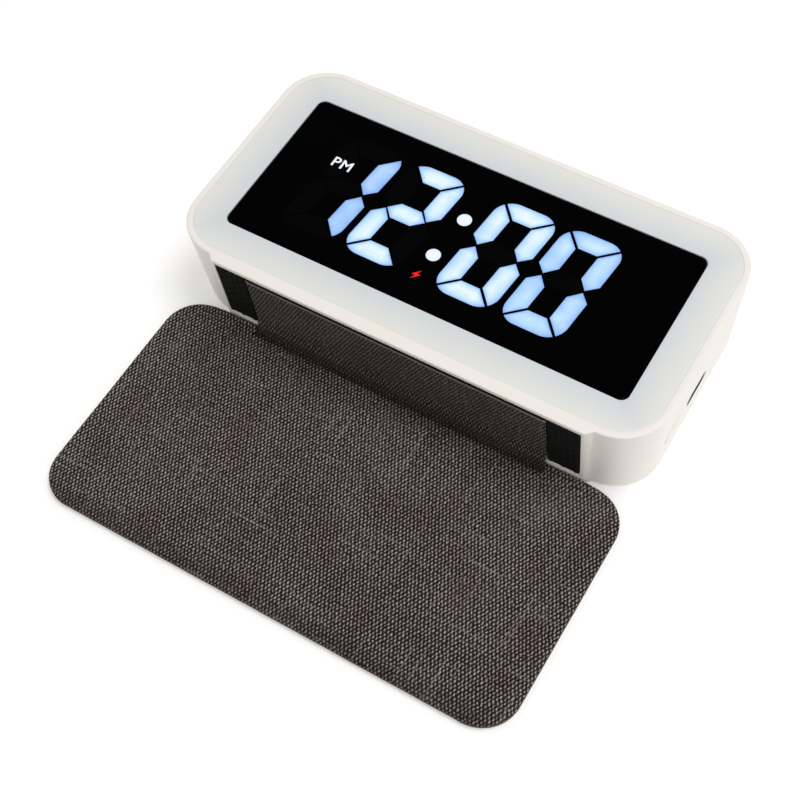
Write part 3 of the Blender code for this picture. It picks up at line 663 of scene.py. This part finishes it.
def build_window():
    middle = (window_low.y + window_high.y) / 2
    tall = (window_high.y - window_low.y) / 2
    outline = (window_high.x, middle - tall, middle + tall, WINDOW_POCKET_R - SEAM)
    rings = []
    for inset, z in ((0.0, window_low.z), (0.0, window_high.z - 0.1), (0.03, window_high.z - 0.03),
                     (0.1, window_high.z), (0.9, window_high.z)):
        rings.append(at_height(grown_outline(*outline, -inset), z))
    window = add_piece("display_lens", skin(rings), window_glass, "clock")
    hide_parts("display_window")
    return middle


DIGIT_HALF_W, DIGIT_HALF_H = 6.98, 13.84
UPRIGHT_T, LEVEL_T = 4.42, 4.45     # thickness of the upright and the level segments
DIGIT_CORNER = 4.2
DIGIT_ARC_STEPS = 6
DIGIT_GAP = 0.6
DIGIT_SLANT = 0.093
BAR_HALF_W, BAR_HALF_H = 4.62, 2.2      # half sizes of the middle segment
BAR_SHOULDER = 2.42     # where its points begin
FACE_Z = window_high.z + 0.03


def corner_arc(start, end):
    """Points of the rounded outer corner at the upper right, between two angles."""
    points = []
    for i in range(DIGIT_ARC_STEPS + 1):
        angle = math.radians(start + (end - start) * i / DIGIT_ARC_STEPS)
        points.append((DIGIT_HALF_W - DIGIT_CORNER + DIGIT_CORNER * math.cos(angle),
                       DIGIT_HALF_H - DIGIT_CORNER + DIGIT_CORNER * math.sin(angle)))
    return points


def segment_shapes():
    """Outline and middle line of each segment, for an upright digit about its centre."""
    slit = math.degrees(DIGIT_GAP / 2 / DIGIT_CORNER)
    inner_x = DIGIT_HALF_W - UPRIGHT_T
    inner_y = DIGIT_HALF_H - LEVEL_T
    right_half = [(inner_x - DIGIT_GAP * 0.7, inner_y)]
    right_half += corner_arc(45 + slit, 90)
    top = right_half + [(-x, y) for x, y in reversed(right_half)]
    upper = corner_arc(0, 45 - slit)
    upper += [(inner_x, inner_y - DIGIT_GAP * 0.7), (inner_x, 2.75), (4.77, 0.32),
              (DIGIT_HALF_W, 2.45)]
    bar = [(-BAR_HALF_W, 0.0), (-BAR_SHOULDER, -BAR_HALF_H), (BAR_SHOULDER, -BAR_HALF_H),
           (BAR_HALF_W, 0.0), (BAR_SHOULDER, BAR_HALF_H), (-BAR_SHOULDER, BAR_HALF_H)]
    column = DIGIT_HALF_W - UPRIGHT_T / 2
    level = DIGIT_HALF_H - LEVEL_T / 2
    shapes = {
        "top": (top, ((-3.4, level), (3.4, level))),
        "upper_right": (upper, ((column, 2.6), (column, level - 1.2))),
        "middle": (bar, ((-2.6, 0.0), (2.6, 0.0))),
    }
    for name, source, sx, sy in (("bottom", "top", 1, -1), ("upper_left", "upper_right", -1, 1),
                                 ("lower_right", "upper_right", 1, -1),
                                 ("lower_left", "upper_right", -1, -1)):
        outline, line = shapes[source]
        flipped = [(sx * x, sy * y) for x, y in outline]
        if sx * sy < 0:
            flipped.reverse()
        shapes[name] = (flipped, tuple((sx * x, sy * y) for x, y in line))
    return shapes


def nearest_on(line, point):
    start, end = Vector(line[0]), Vector(line[1])
    along = end - start
    share = (Vector(point) - start).dot(along) / along.length_squared
    return start + along * min(max(share, 0.0), 1.0)


def add_glowing_face(bm, layer, outline, line, place, levels):
    """A flat face in steps from its outline (dim) to its middle line (bright)."""
    previous = None
    middle = (Vector(line[0]) + Vector(line[1])) / 2
    reach = max((Vector(point) - middle).length for point in outline)
    for share, glow in levels:
        ring = []
        for point in outline:
            x, y = Vector(point).lerp(nearest_on(line, point), share)
            off_centre = (Vector((x, y)) - middle).length / reach
            v = bm.verts.new(place(x, y))
            v[layer] = glow * (1 - 0.6 * min(off_centre, 1.0) ** 2)
            ring.append(v)
        if previous:
            bridge_loop(bm, previous, ring)
        previous = ring
    bm.faces.new(previous)


def slanted_place(centre_x, centre_y, z, slant):
    """Gives the place on the lens of a point of a digit or mark."""
    def place(x, y):
        return Vector((centre_x + x + slant * y, centre_y + y, z))
    return place


LIT = {"one": ("upper_right", "lower_right"),
       "two": ("top", "upper_right", "middle", "lower_left", "bottom"),
       "zero": ("top", "upper_right", "lower_right", "bottom", "lower_left", "upper_left")}
# what each place shows, its centre, and how white its light is
SHOWN = (("one", -29.43, 0.55), ("two", -13.76, 1.0), ("zero", 8.10, 0.98), ("zero", 23.58, 0.72))
# how far in towards the middle line, and how bright there
LIT_LEVELS = ((0.0, 0.46), (0.12, 0.66), (0.3, 0.84), (0.5, 0.96), (0.75, 1.03), (0.95, 1.04))
UNLIT_LEVELS = ((0.0, 0.0), (0.5, 0.2))
DOT_LEVELS = ((0.0, 0.5), (0.15, 0.85), (0.5, 1.0))
BOLT_LEVELS = ((0.0, 0.3), (0.25, 0.8))
DOT_R, DOT_SIDES = 1.6, 32
BOLT_SLANT = 0.25
PM_SIZE, PM_WIDTH = 3.75, 4.5
PM_LEFT, PM_BASE = -35.45, 4.25


def build_digits(middle_y):
    lit, unlit = bmesh.new(), bmesh.new()
    lit_layer = lit.verts.layers.float.new("glow")
    unlit_layer = unlit.verts.layers.float.new("glow")
    shapes = segment_shapes()
    for shown, x, whiteness in SHOWN:
        for name, (outline, line) in shapes.items():
            if name in LIT[shown]:
                levels = [(share, glow * whiteness) for share, glow in LIT_LEVELS]
                place = slanted_place(x, middle_y, FACE_Z, DIGIT_SLANT)
                add_glowing_face(lit, lit_layer, outline, line, place, levels)
            else:
                place = slanted_place(x, middle_y, FACE_Z - 0.01, DIGIT_SLANT)
                add_glowing_face(unlit, unlit_layer, outline, line, place, UNLIT_LEVELS)
    ghost = moulded_plastic("unlit_segment", (0.0011, 0.0013, 0.0018), (0.0007, 0.0008, 0.0011),
                            0.5, 0.01, specular=0.012)
    add_piece("lit_segments", lit, segment_light, "clock")
    add_piece("unlit_segments", unlit, ghost, "clock")


def build_marks(middle_y):
    """The two dots of the colon, the charging bolt and the afternoon mark."""
    marks = bmesh.new()
    layer = marks.verts.layers.float.new("glow")
    circle = circle_round(0.0, 0.0, DOT_R, DOT_SIDES)
    for x, y in ((-2.14, 4.71), (-3.29, -6.43)):
        place = slanted_place(x, middle_y + y, FACE_Z, 0.0)
        add_glowing_face(marks, layer, circle, ((0.0, 0.0), (0.01, 0.0)), place, DOT_LEVELS)
    add_piece("colon_dots", marks, white_light, "clock")

    bolt = bmesh.new()
    layer = bolt.verts.layers.float.new("glow")
    shape = [(0.25, 1.45), (-0.95, -0.25), (-0.1, -0.15), (-0.35, -1.45), (0.95, 0.3), (0.1, 0.2)]
    place = slanted_place(-3.93, middle_y - 12.5, FACE_Z, BOLT_SLANT)
    add_glowing_face(bolt, layer, shape, ((0.0, -0.2), (0.0, 0.2)), place, BOLT_LEVELS)
    add_piece("charging_mark", bolt, charge_light, "clock")

    text = bpy.data.curves.new("pm", "FONT")
    text.body = "PM"
    text.size = PM_SIZE * MM
    text.space_character = 1.12
    text.resolution_u = 6
    carrier = bpy.data.objects.new("pm", text)
    bpy.context.scene.collection.objects.link(carrier)
    graph = bpy.context.evaluated_depsgraph_get()
    letters = bpy.data.meshes.new_from_object(carrier.evaluated_get(graph))
    bpy.data.objects.remove(carrier)
    bm = bmesh.new()
    bm.from_mesh(letters)
    bmesh.ops.scale(bm, vec=(1 / MM, 1 / MM, 1 / MM), verts=bm.verts)
    width = max(v.co.x for v in bm.verts) - min(v.co.x for v in bm.verts)
    left = min(v.co.x for v in bm.verts)
    layer = bm.verts.layers.float.new("glow")
    for v in bm.verts:
        v[layer] = 0.8
        v.co = Vector(((v.co.x - left) * PM_WIDTH / width + PM_LEFT, v.co.y + middle_y + PM_BASE,
                       FACE_Z))
    # copies a little to the side make the strokes bolder
    thin = list(bm.verts) + list(bm.edges) + list(bm.faces)
    for shift in ((0.14, 0.0, 0.002), (0.07, 0.05, 0.004), (0.07, -0.05, 0.006)):
        copy = bmesh.ops.duplicate(bm, geom=thin)["geom"]
        moved = [v for v in copy if isinstance(v, bmesh.types.BMVert)]
        bmesh.ops.translate(bm, vec=shift, verts=moved)
    add_piece("pm_mark", bm, white_light, "clock")


# ---- base side: pads ----
PAD_CELL = 0.12         # spacing of the vertices on the pads
STUD_PITCH = (1.43, 1.09)
STUD_H = 0.3
PAD_BACK = 1.7


def build_pad(name, x0, x1):
    """Rubber pad whose face carries staggered rounded studs."""
    pitch_x, pitch_z = STUD_PITCH
    z0, z1 = pad_low.z, pad_high.z
    columns = round((x1 - x0) / PAD_CELL)
    rows = round((z1 - z0) / PAD_CELL)
    bm = bmesh.new()
    grid = []
    for r in range(rows + 1):
        z = z0 + (z1 - z0) * r / rows
        row = []
        for c in range(columns + 1):
            x = x0 + (x1 - x0) * c / columns
            wave = math.cos(math.pi * (x - x0 - pitch_x / 2) / (pitch_x / 2) / 2)
            wave *= math.cos(math.pi * (z - z0 - pitch_z / 2) / (pitch_z / 2) / 2)
            edge = min(x - x0, x1 - x, z - z0, z1 - z)
            height = STUD_H * smooth_step(wave, 0.05, 0.85) * smooth_step(edge, 0.0, 0.2)
            row.append(bm.verts.new((x, -BASE_LEAN * z - height, z)))
        grid.append(row)
    for lower, upper in zip(grid, grid[1:]):
        bridge(bm, lower, upper)
    rim = [e for e in bm.edges if len(e.link_faces) == 1]
    made = bmesh.ops.extrude_edge_only(bm, edges=rim)
    for v in made["geom"]:
        if isinstance(v, bmesh.types.BMVert):
            v.co.y = PAD_BACK - BASE_LEAN * v.co.z
    bmesh.ops.contextual_create(bm, geom=[e for e in bm.edges if len(e.link_faces) == 1])
    bmesh.ops.recalc_face_normals(bm, faces=bm.faces)
    pad = add_piece(name.replace("anti_slip", "studded"), bm, pad_rubber, "clock", sharp=60.0)
    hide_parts(name)


# ---- cover cloth ----
CLOTH_TOP = cover_high.z
EDGE_R = 0.45           # roll of the cloth over the edge of the board
BAND_HALF = 35.3        # the middle part goes on over the fold and up the spine
STRIP_HALF = 36.1       # the parts beside it end in an edge of their own
COVER_FAR = cover_low.y
COVER_NEAR = -0.3
COVER_CORNER = 8.3
NEAR_LIFT = 0.8         # how much the free near edge beside the band curls up
LIFT_START = -4.0       # row from which it curls
LIFT_ENDS = (43.0, 49.0)    # and where the curl dies away along the edge
GRID = 0.75             # spacing of the rows of the cloth
STRAIGHT = 45.0         # columns further out follow the round corners
ARC_ROWS = 15
SPLIT_ROW = 8           # row of the near corners from which the band rises
ON_SPINE_Z = 7.6        # height from which the cloth lies flat on the spine
RIDGE_H = 0.16          # how much it stands out along the spine's top edge
PITCH = (0.83, 1.54)    # of the floats of the weave, across and along
RAW_EDGE = (0.27, 0.185, 0.140)


def arc_rows(far, near, radius):
    """Rows from the far to the near side, closer together where the corners turn."""
    turns = [math.pi / 2 * i / ARC_ROWS for i in range(ARC_ROWS + 1)]
    rows = [far + radius * (1 - math.cos(t)) for t in turns]
    start, end = far + radius, near - radius
    count = round((end - start) / GRID)
    rows += [start + (end - start) * i / count for i in range(1, count)]
    rows += [end + radius * math.sin(t) for t in turns]
    return rows


def column_marks(half):
    """Columns from left to right, with one at each side of the band's two edges."""
    inner = [BAND_HALF * i / 47 for i in range(-47, 48)]
    outer = [STRIP_HALF + (STRAIGHT - STRIP_HALF) * i / 12 for i in range(13)]
    outer += [STRAIGHT + (half - STRAIGHT) * i / 14 for i in range(1, 15)]
    return [-x for x in reversed(outer)] + inner + outer


def row_half(y, half, far, near, radius):
    depth = max(far + radius - y, y - (near - radius), 0.0)
    return half - radius + math.sqrt(max(radius ** 2 - depth ** 2, 0.0))


def place_column(mark, half, row_width):
    if abs(mark) <= STRAIGHT:
        return mark
    share = (abs(mark) - STRAIGHT) / (half - STRAIGHT)
    return math.copysign(STRAIGHT + share * (row_width - STRAIGHT), mark)


def smooth_path(points, steps):
    """A Catmull-Rom curve through the points."""
    made = []
    for k in range(1, len(points) - 2):
        a, b, c, d = (Vector(points[k + n]) for n in (-1, 0, 1, 2))
        for i in range(steps):
            t = i / steps
            made.append(0.5 * ((2 * b) + (c - a) * t + (2 * a - 5 * b + 4 * c - d) * t ** 2
                               + (3 * b - a - 3 * c + d) * t ** 3))
    made.append(Vector(points[-2]))
    return made


def turn_edge(bm, flat, profile, thin_from=None, deep_from=None):
    """Rolls the open edge of a sheet under; profile is pairs of reach and depth.
    Above one height the turned edge is thin, and above another it goes in deeper."""
    bm.normal_update()
    following = {}
    for edge in bm.edges:
        if len(edge.link_loops) == 1:
            corner = edge.link_loops[0]
            following[corner.vert] = corner.link_loop_next.vert
    rim = [next(iter(following))]
    while following[rim[-1]] is not rim[0]:
        rim.append(following[rim[-1]])
    count = len(rim)
    frames = []
    for k, here in enumerate(rim):
        before, after = rim[k - 1], rim[(k + 1) % count]
        out = (after.co - before.co).cross(here.normal).normalized()
        flat_along = after[flat] - before[flat]
        flat_out = Vector((flat_along.y, -flat_along.x, 0.0)).normalized()
        thin = 1.0
        if thin_from is not None:
            thin = 1 - 0.72 * smooth_step(here.co.z, thin_from, thin_from + 1.0)
        deep = 0.0
        if deep_from is not None:
            deep = 0.75 * smooth_step(here.co.z, deep_from, deep_from + 0.6)
        frames.append((here.co.copy(), out, here.normal.copy(), here[flat].copy(), flat_out,
                       thin, deep))
    ring, travelled, last = rim, 0.0, (0.0, 0.0)
    for reach, depth in profile:
        travelled += math.hypot(reach - last[0], depth - last[1])
        last = (reach, depth)
        new_ring = []
        for co, out, normal, spot, flat_out, thin, deep in frames:
            inward = depth * thin + max(depth - EDGE_R, 0.0) * deep
            v = bm.verts.new(co + out * reach * thin - normal * inward)
            v[flat] = spot + flat_out * travelled * thin
            new_ring.append(v)
        for k in range(count):
            j = (k + 1) % count
            bm.faces.new((ring[j], ring[k], new_ring[k], new_ring[j]))
        ring = new_ring


def ripple(x, y):
    """Slight unevenness of cloth glued on a board."""
    wave = math.sin(0.31 * x + 0.9 * math.sin(0.17 * y)) * math.sin(0.27 * y + 0.5)
    return 0.022 * wave + 0.014 * math.sin(1.1 * x + 0.7 * y) * math.sin(0.83 * y - 0.4 * x)


def add_flat_map(mesh):
    """Turns the flat coordinates of the vertices into a UV map."""
    places = mesh.attributes["flat_place"].data
    uv = mesh.uv_layers.new(name="flat")
    for loop, spot in zip(mesh.loops, uv.data):
        place = places[loop.vertex_index].vector
        spot.uv = (place.x / FLAT_UNIT, place.y / FLAT_UNIT)


def flat_area(mesh):
    """Area of the cut cloth and its width and length, in metres."""
    uv = mesh.uv_layers["flat"].data
    total = 0.0
    for polygon in mesh.polygons:
        spots = [uv[i].uv for i in polygon.loop_indices]
        total += abs(sum(a.cross(b) for a, b in zip(spots, spots[1:] + spots[:1]))) / 2
    us = [spot.uv.x for spot in uv]
    vs = [spot.uv.y for spot in uv]
    unit = FLAT_UNIT * MM
    return total * unit * unit, (max(us) - min(us)) * unit, (max(vs) - min(vs)) * unit


def build_cover_cloth():
    half = cover_high.x - EDGE_R
    far, near, radius = COVER_FAR + EDGE_R, COVER_NEAR - EDGE_R, COVER_CORNER - EDGE_R
    rows = arc_rows(far, near, radius)
    split = len(rows) - 1 - ARC_ROWS + SPLIT_ROW
    marks = column_marks(half)
    bm = bmesh.new()
    flat = bm.verts.layers.float_vector.new("flat_place")
    grid = []
    for j, y in enumerate(rows):
        row = []
        width = row_half(y, half, far, near, radius)
        for mark in marks:
            if j > split and abs(mark) <= BAND_HALF:
                row.append(None)
                continue
            x = place_column(mark, half, width)
            lift = NEAR_LIFT * smooth_step(y, LIFT_START, COVER_NEAR)
            lift *= 1 - smooth_step(abs(x), *LIFT_ENDS)
            if abs(x) <= BAND_HALF:
                lift = 0.0
            v = bm.verts.new((x, y, CLOTH_TOP + lift + ripple(x, y)))
            v[flat] = Vector((x, y, 0.0))
            row.append(v)
        grid.append(row)
    y0 = rows[split]
    spine_top = spine_high.z
    plane = [(-BASE_LEAN * z, z) for z in (6.3, ON_SPINE_Z, 9.0)]
    bend = [(y0 - 0.9, CLOTH_TOP), (y0, CLOTH_TOP), (-2.2, 1.68), (-1.72, 1.60), (-1.34, 1.92),
            (-1.16, 2.6), (-1.10, 3.4), (-1.02, 4.1), (-0.83, 4.8), (-0.60, 5.5)]
    path = smooth_path(bend + plane, 5)
    steps = round((spine_top - 8.1) / GRID)
    for i in range(1, steps + 1):
        z = ON_SPINE_Z + (spine_top - ON_SPINE_Z) * i / steps
        ridge = RIDGE_H * smooth_step(z, spine_top - 0.9, spine_top - 0.35)
        path.append(Vector((-BASE_LEAN * z - ridge, z)))
    band = [i for i, mark in enumerate(marks) if abs(mark) <= BAND_HALF]
    previous = [grid[split][i] for i in band]
    travelled, last = y0, Vector((y0, CLOTH_TOP))
    for point in path[1:]:
        travelled += (point - last).length
        last = point
        row = []
        for i in band:
            x = marks[i]
            v = bm.verts.new((x, point.x - ripple(x, travelled), point.y))
            v[flat] = Vector((x, travelled, 0.0))
            row.append(v)
        bridge(bm, previous, row)
        previous = row
    for j in range(len(rows) - 1):
        for i in range(len(marks) - 1):
            inner = min(abs(marks[i]), abs(marks[i + 1]))
            beside = marks[i] * marks[i + 1] > 0 and inner >= STRIP_HALF
            if j >= split and not beside:
                continue
            bm.faces.new((grid[j][i], grid[j][i + 1], grid[j + 1][i + 1], grid[j + 1][i]))
    roll = [(EDGE_R * math.sin(math.radians(a)), EDGE_R * (1 - math.cos(math.radians(a))))
            for a in (22, 45, 68, 90)]
    # above the spine's top the turned edge goes in deeper under the frame, where its colour is
    # painted shade
    turn_edge(bm, flat, roll + [(EDGE_R, 1.3), (EDGE_R - 0.06, 1.52), (EDGE_R - 0.2, 1.63),
                                (0.0, 1.68), (-0.2, 1.45), (-0.9, 1.45)], thin_from=CLOTH_TOP + 0.3,
              deep_from=spine_top - 0.7)
    fabric = woven_cloth("cloth", (0.44, 0.390, 0.350), (0.0135, 0.0102, 0.0086),
                         (0.88, 0.72, 0.70), travelled)
    cloth = add_piece("cover_fabric", bm, fabric, None, sharp=75.0)
    add_flat_map(cloth.data)
    area, width, length = flat_area(cloth.data)
    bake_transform(cloth)
    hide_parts("cover_cloth", "hinge_cloth", "spine_cloth")


LINING_INSET = 0.2
LINING_NEAR = COVER_NEAR - 0.9
LINING_Z = 0.02


def build_lining():
    half = cover_high.x - LINING_INSET
    far, near, radius = COVER_FAR + LINING_INSET, LINING_NEAR, COVER_CORNER - LINING_INSET
    rows = arc_rows(far, near, radius)
    marks = [m for m in column_marks(half) if abs(abs(m) - STRIP_HALF) > 0.01]
    bm = bmesh.new()
    flat = bm.verts.layers.float_vector.new("flat_place")
    grid = []
    for y in rows:
        width = row_half(y, half, far, near, radius)
        row = []
        for mark in marks:
            x = place_column(mark, half, width)
            v = bm.verts.new((x, y, LINING_Z))
            v[flat] = Vector((-x, y, 0.0))
            row.append(v)
        grid.append(row)
    for lower, upper in zip(grid, grid[1:]):
        for i in range(len(marks) - 1):
            bm.faces.new((lower[i + 1], lower[i], upper[i], upper[i + 1]))
    turn_edge(bm, flat, [(0.05, 0.03), (0.06, 0.14), (0.04, 0.25), (-0.05, 0.28), (-0.7, 0.28)])
    lining = add_piece("cover_lining_sheet", bm, lining_fabric, None, sharp=75.0)
    add_flat_map(lining.data)
    area, width, length = flat_area(lining.data)
    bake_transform(lining)
    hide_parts("cover_lining")


# ---- buttons ----
BACK_KEY_R, BACK_KEY_SIDES = 3.2, 48
FLANGE_R, STEM_R = 4.1, 1.5


def bar_key(name, node, axis, centre, face, cap, root, edge_r, dish, flange, collar):
    """Round-ended key: a cap with a dished face, and the flange that keeps it in the wall."""
    levels = [(0.0, root)]
    levels += [(inset, face - drop) for inset, drop in reversed(fillet(edge_r))]
    levels += [(inset, face - drop) for inset, drop in dish]
    bm = skin(bar_rings(centre, *cap, levels, axis))
    skin(bar_rings(centre, *flange, collar, axis), bm=bm)
    piece = add_piece(name, bm, button_plastic, node)
    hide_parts(node)


def build_buttons():
    bar_key("side_key", "side_button", "X", wall_place(side_low, side_high), side_high.x,
            cap=(6.8, 2.5), root=52.8, edge_r=0.35,
            dish=((0.6, 0.005), (0.95, 0.06), (1.15, 0.09)),
            flange=(8.4, 3.9), collar=((0.1, 52.1), (0.0, 52.2), (0.0, 52.75)))
    bar_key("snooze_key", "snooze_button", "Y", SNOOZE_PLACE, snooze_high.y,
            cap=(32.0, 6.4), root=52.9, edge_r=0.5,
            dish=((1.2, 0.005), (2.0, 0.09), (2.9, 0.16)),
            flange=(33.8, 7.6), collar=((0.1, 52.0), (0.0, 52.1), (0.0, 52.9)))
    for body in ("set_button", "up_button", "down_button", "mode_button"):
        low, high = box_mm(body)
        x, y = (low.x + high.x) / 2, (low.y + high.y) / 2
        profile = [(0.35, low.z + 0.14), (1.2, low.z + 0.11), (2.1, low.z + 0.03), (2.6, low.z)]
        profile += [(BACK_KEY_R - inset, low.z + rise) for inset, rise in fillet(0.3)]
        profile += [(BACK_KEY_R, 2.55), (FLANGE_R, 2.55), (FLANGE_R, 3.2), (STEM_R, 3.25),
                    (STEM_R, high.z)]
        rings = [at_height(circle_round(x, y, radius, BACK_KEY_SIDES), z) for radius, z in profile]
        piece = add_piece(body.replace("button", "key"), skin(rings), button_plastic, body)
        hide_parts(body)


# ---- carried-over CAD nodes ----
CARRIED = (             # part of the node's name, and its material
    ("rear_cover", shell_plastic), ("digit_module", reflector_plastic),
    ("main_board", board_laminate), ("ring_light_board", board_laminate),
    ("battery_cell", cell_wrap), ("battery_lead", lead_plastic),
    ("speaker", black_plastic), ("_switch", black_plastic),
    ("cover_board", grey_card), ("spine_board", grey_card),
    ("usb_c_socket", socket_metal), ("rear_screw", steel), ("_magnet", steel),
)


def finish_carried_nodes():
    for name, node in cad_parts.items():
        for part, material in CARRIED:
            if part in name:
                for place in node.material_slots:
                    place.link = "OBJECT"
                    place.material = material


# ---- floor, light, camera ----
FLOOR_HALF = 3000.0
FLOOR_Z = -0.06         # just under the object, so the two don't share a plane


def build_floor():
    made, shader = new_material("studio_floor", 0.9, specular=0.1)
    cloud = noise(object_place(shader), 3.0)
    pale = ramp(cloud, (0.2, (0.88, 0.88, 0.88)), (0.8, (0.90, 0.90, 0.90)))
    feed(pale, shader.inputs["Base Color"])
    feed(pale, shader.inputs["Emission Color"])
    shader.inputs["Emission Strength"].default_value = 0.24
    bm = bmesh.new()
    bmesh.ops.create_grid(bm, x_segments=8, y_segments=8, size=FLOOR_HALF)
    bmesh.ops.translate(bm, vec=(0, 0, FLOOR_Z), verts=bm.verts)
    floor = add_piece("floor", bm, made, None)


def soft_light(name, place, size, power, colour):
    """A square area light that faces the middle of the object."""
    data = bpy.data.lights.new(name, "AREA")
    data.shape = "SQUARE"
    data.size = size
    data.energy = power
    data.color = colour
    light = bpy.data.objects.new(name, data)
    light.location = place
    light.rotation_euler = (-Vector(place)).to_track_quat("-Z", "Y").to_euler()
    bpy.context.scene.collection.objects.link(light)


def build_studio():
    world = bpy.data.worlds.new("studio")
    bpy.context.scene.world = world
    world.use_nodes = True
    background = world.node_tree.nodes["Background"]
    background.inputs["Color"].default_value = (1.0, 1.0, 1.0, 1.0)
    background.inputs["Strength"].default_value = 0.55
    soft_light("key", (0.25, 0.15, 0.95), 0.45, 4.3, (1.0, 0.985, 0.96))
    soft_light("side", (0.85, 0.1, 0.35), 0.4, 0.5, (1.0, 0.99, 0.97))
    bpy.context.scene.view_settings.view_transform = "Standard"


# place in metres, angles in degrees, lens in millimetres
CAMERA_PLACE = (0.097896, -0.137067, 0.268588)
CAMERA_AZIMUTH, CAMERA_ELEVATION, CAMERA_ROLL = 35.528, 58.021, -5.591
CAMERA_LENS = 66.53


def build_camera():
    azimuth, elevation, roll = (math.radians(a) for a in
                                (CAMERA_AZIMUTH, CAMERA_ELEVATION, CAMERA_ROLL))
    forward = Vector((-math.sin(azimuth) * math.cos(elevation),
                      math.cos(azimuth) * math.cos(elevation), -math.sin(elevation)))
    right = forward.cross(Vector((0, 0, 1))).normalized()
    up = right.cross(forward)
    turned_right = math.cos(roll) * right + math.sin(roll) * up
    turned_up = -math.sin(roll) * right + math.cos(roll) * up
    data = bpy.data.cameras.new("camera")
    data.lens = CAMERA_LENS
    data.sensor_width = SENSOR_WIDTH
    data.clip_start = 0.01
    camera = bpy.data.objects.new("camera", data)
    turn = Matrix((turned_right, turned_up, -forward)).transposed()
    camera.matrix_world = Matrix.Translation(CAMERA_PLACE) @ turn.to_4x4()
    bpy.context.scene.collection.objects.link(camera)
    bpy.context.scene.camera = camera


build_housing()
build_port_shell()
build_ring()
window_middle = build_window()
build_digits(window_middle)
build_marks(window_middle)
build_pad("anti_slip_pad_left", -pad_high.x, -pad_low.x)
build_pad("anti_slip_pad_right", pad_low.x, pad_high.x)
build_cover_cloth()
build_lining()
build_buttons()
finish_carried_nodes()
build_floor()
build_studio()
build_camera()
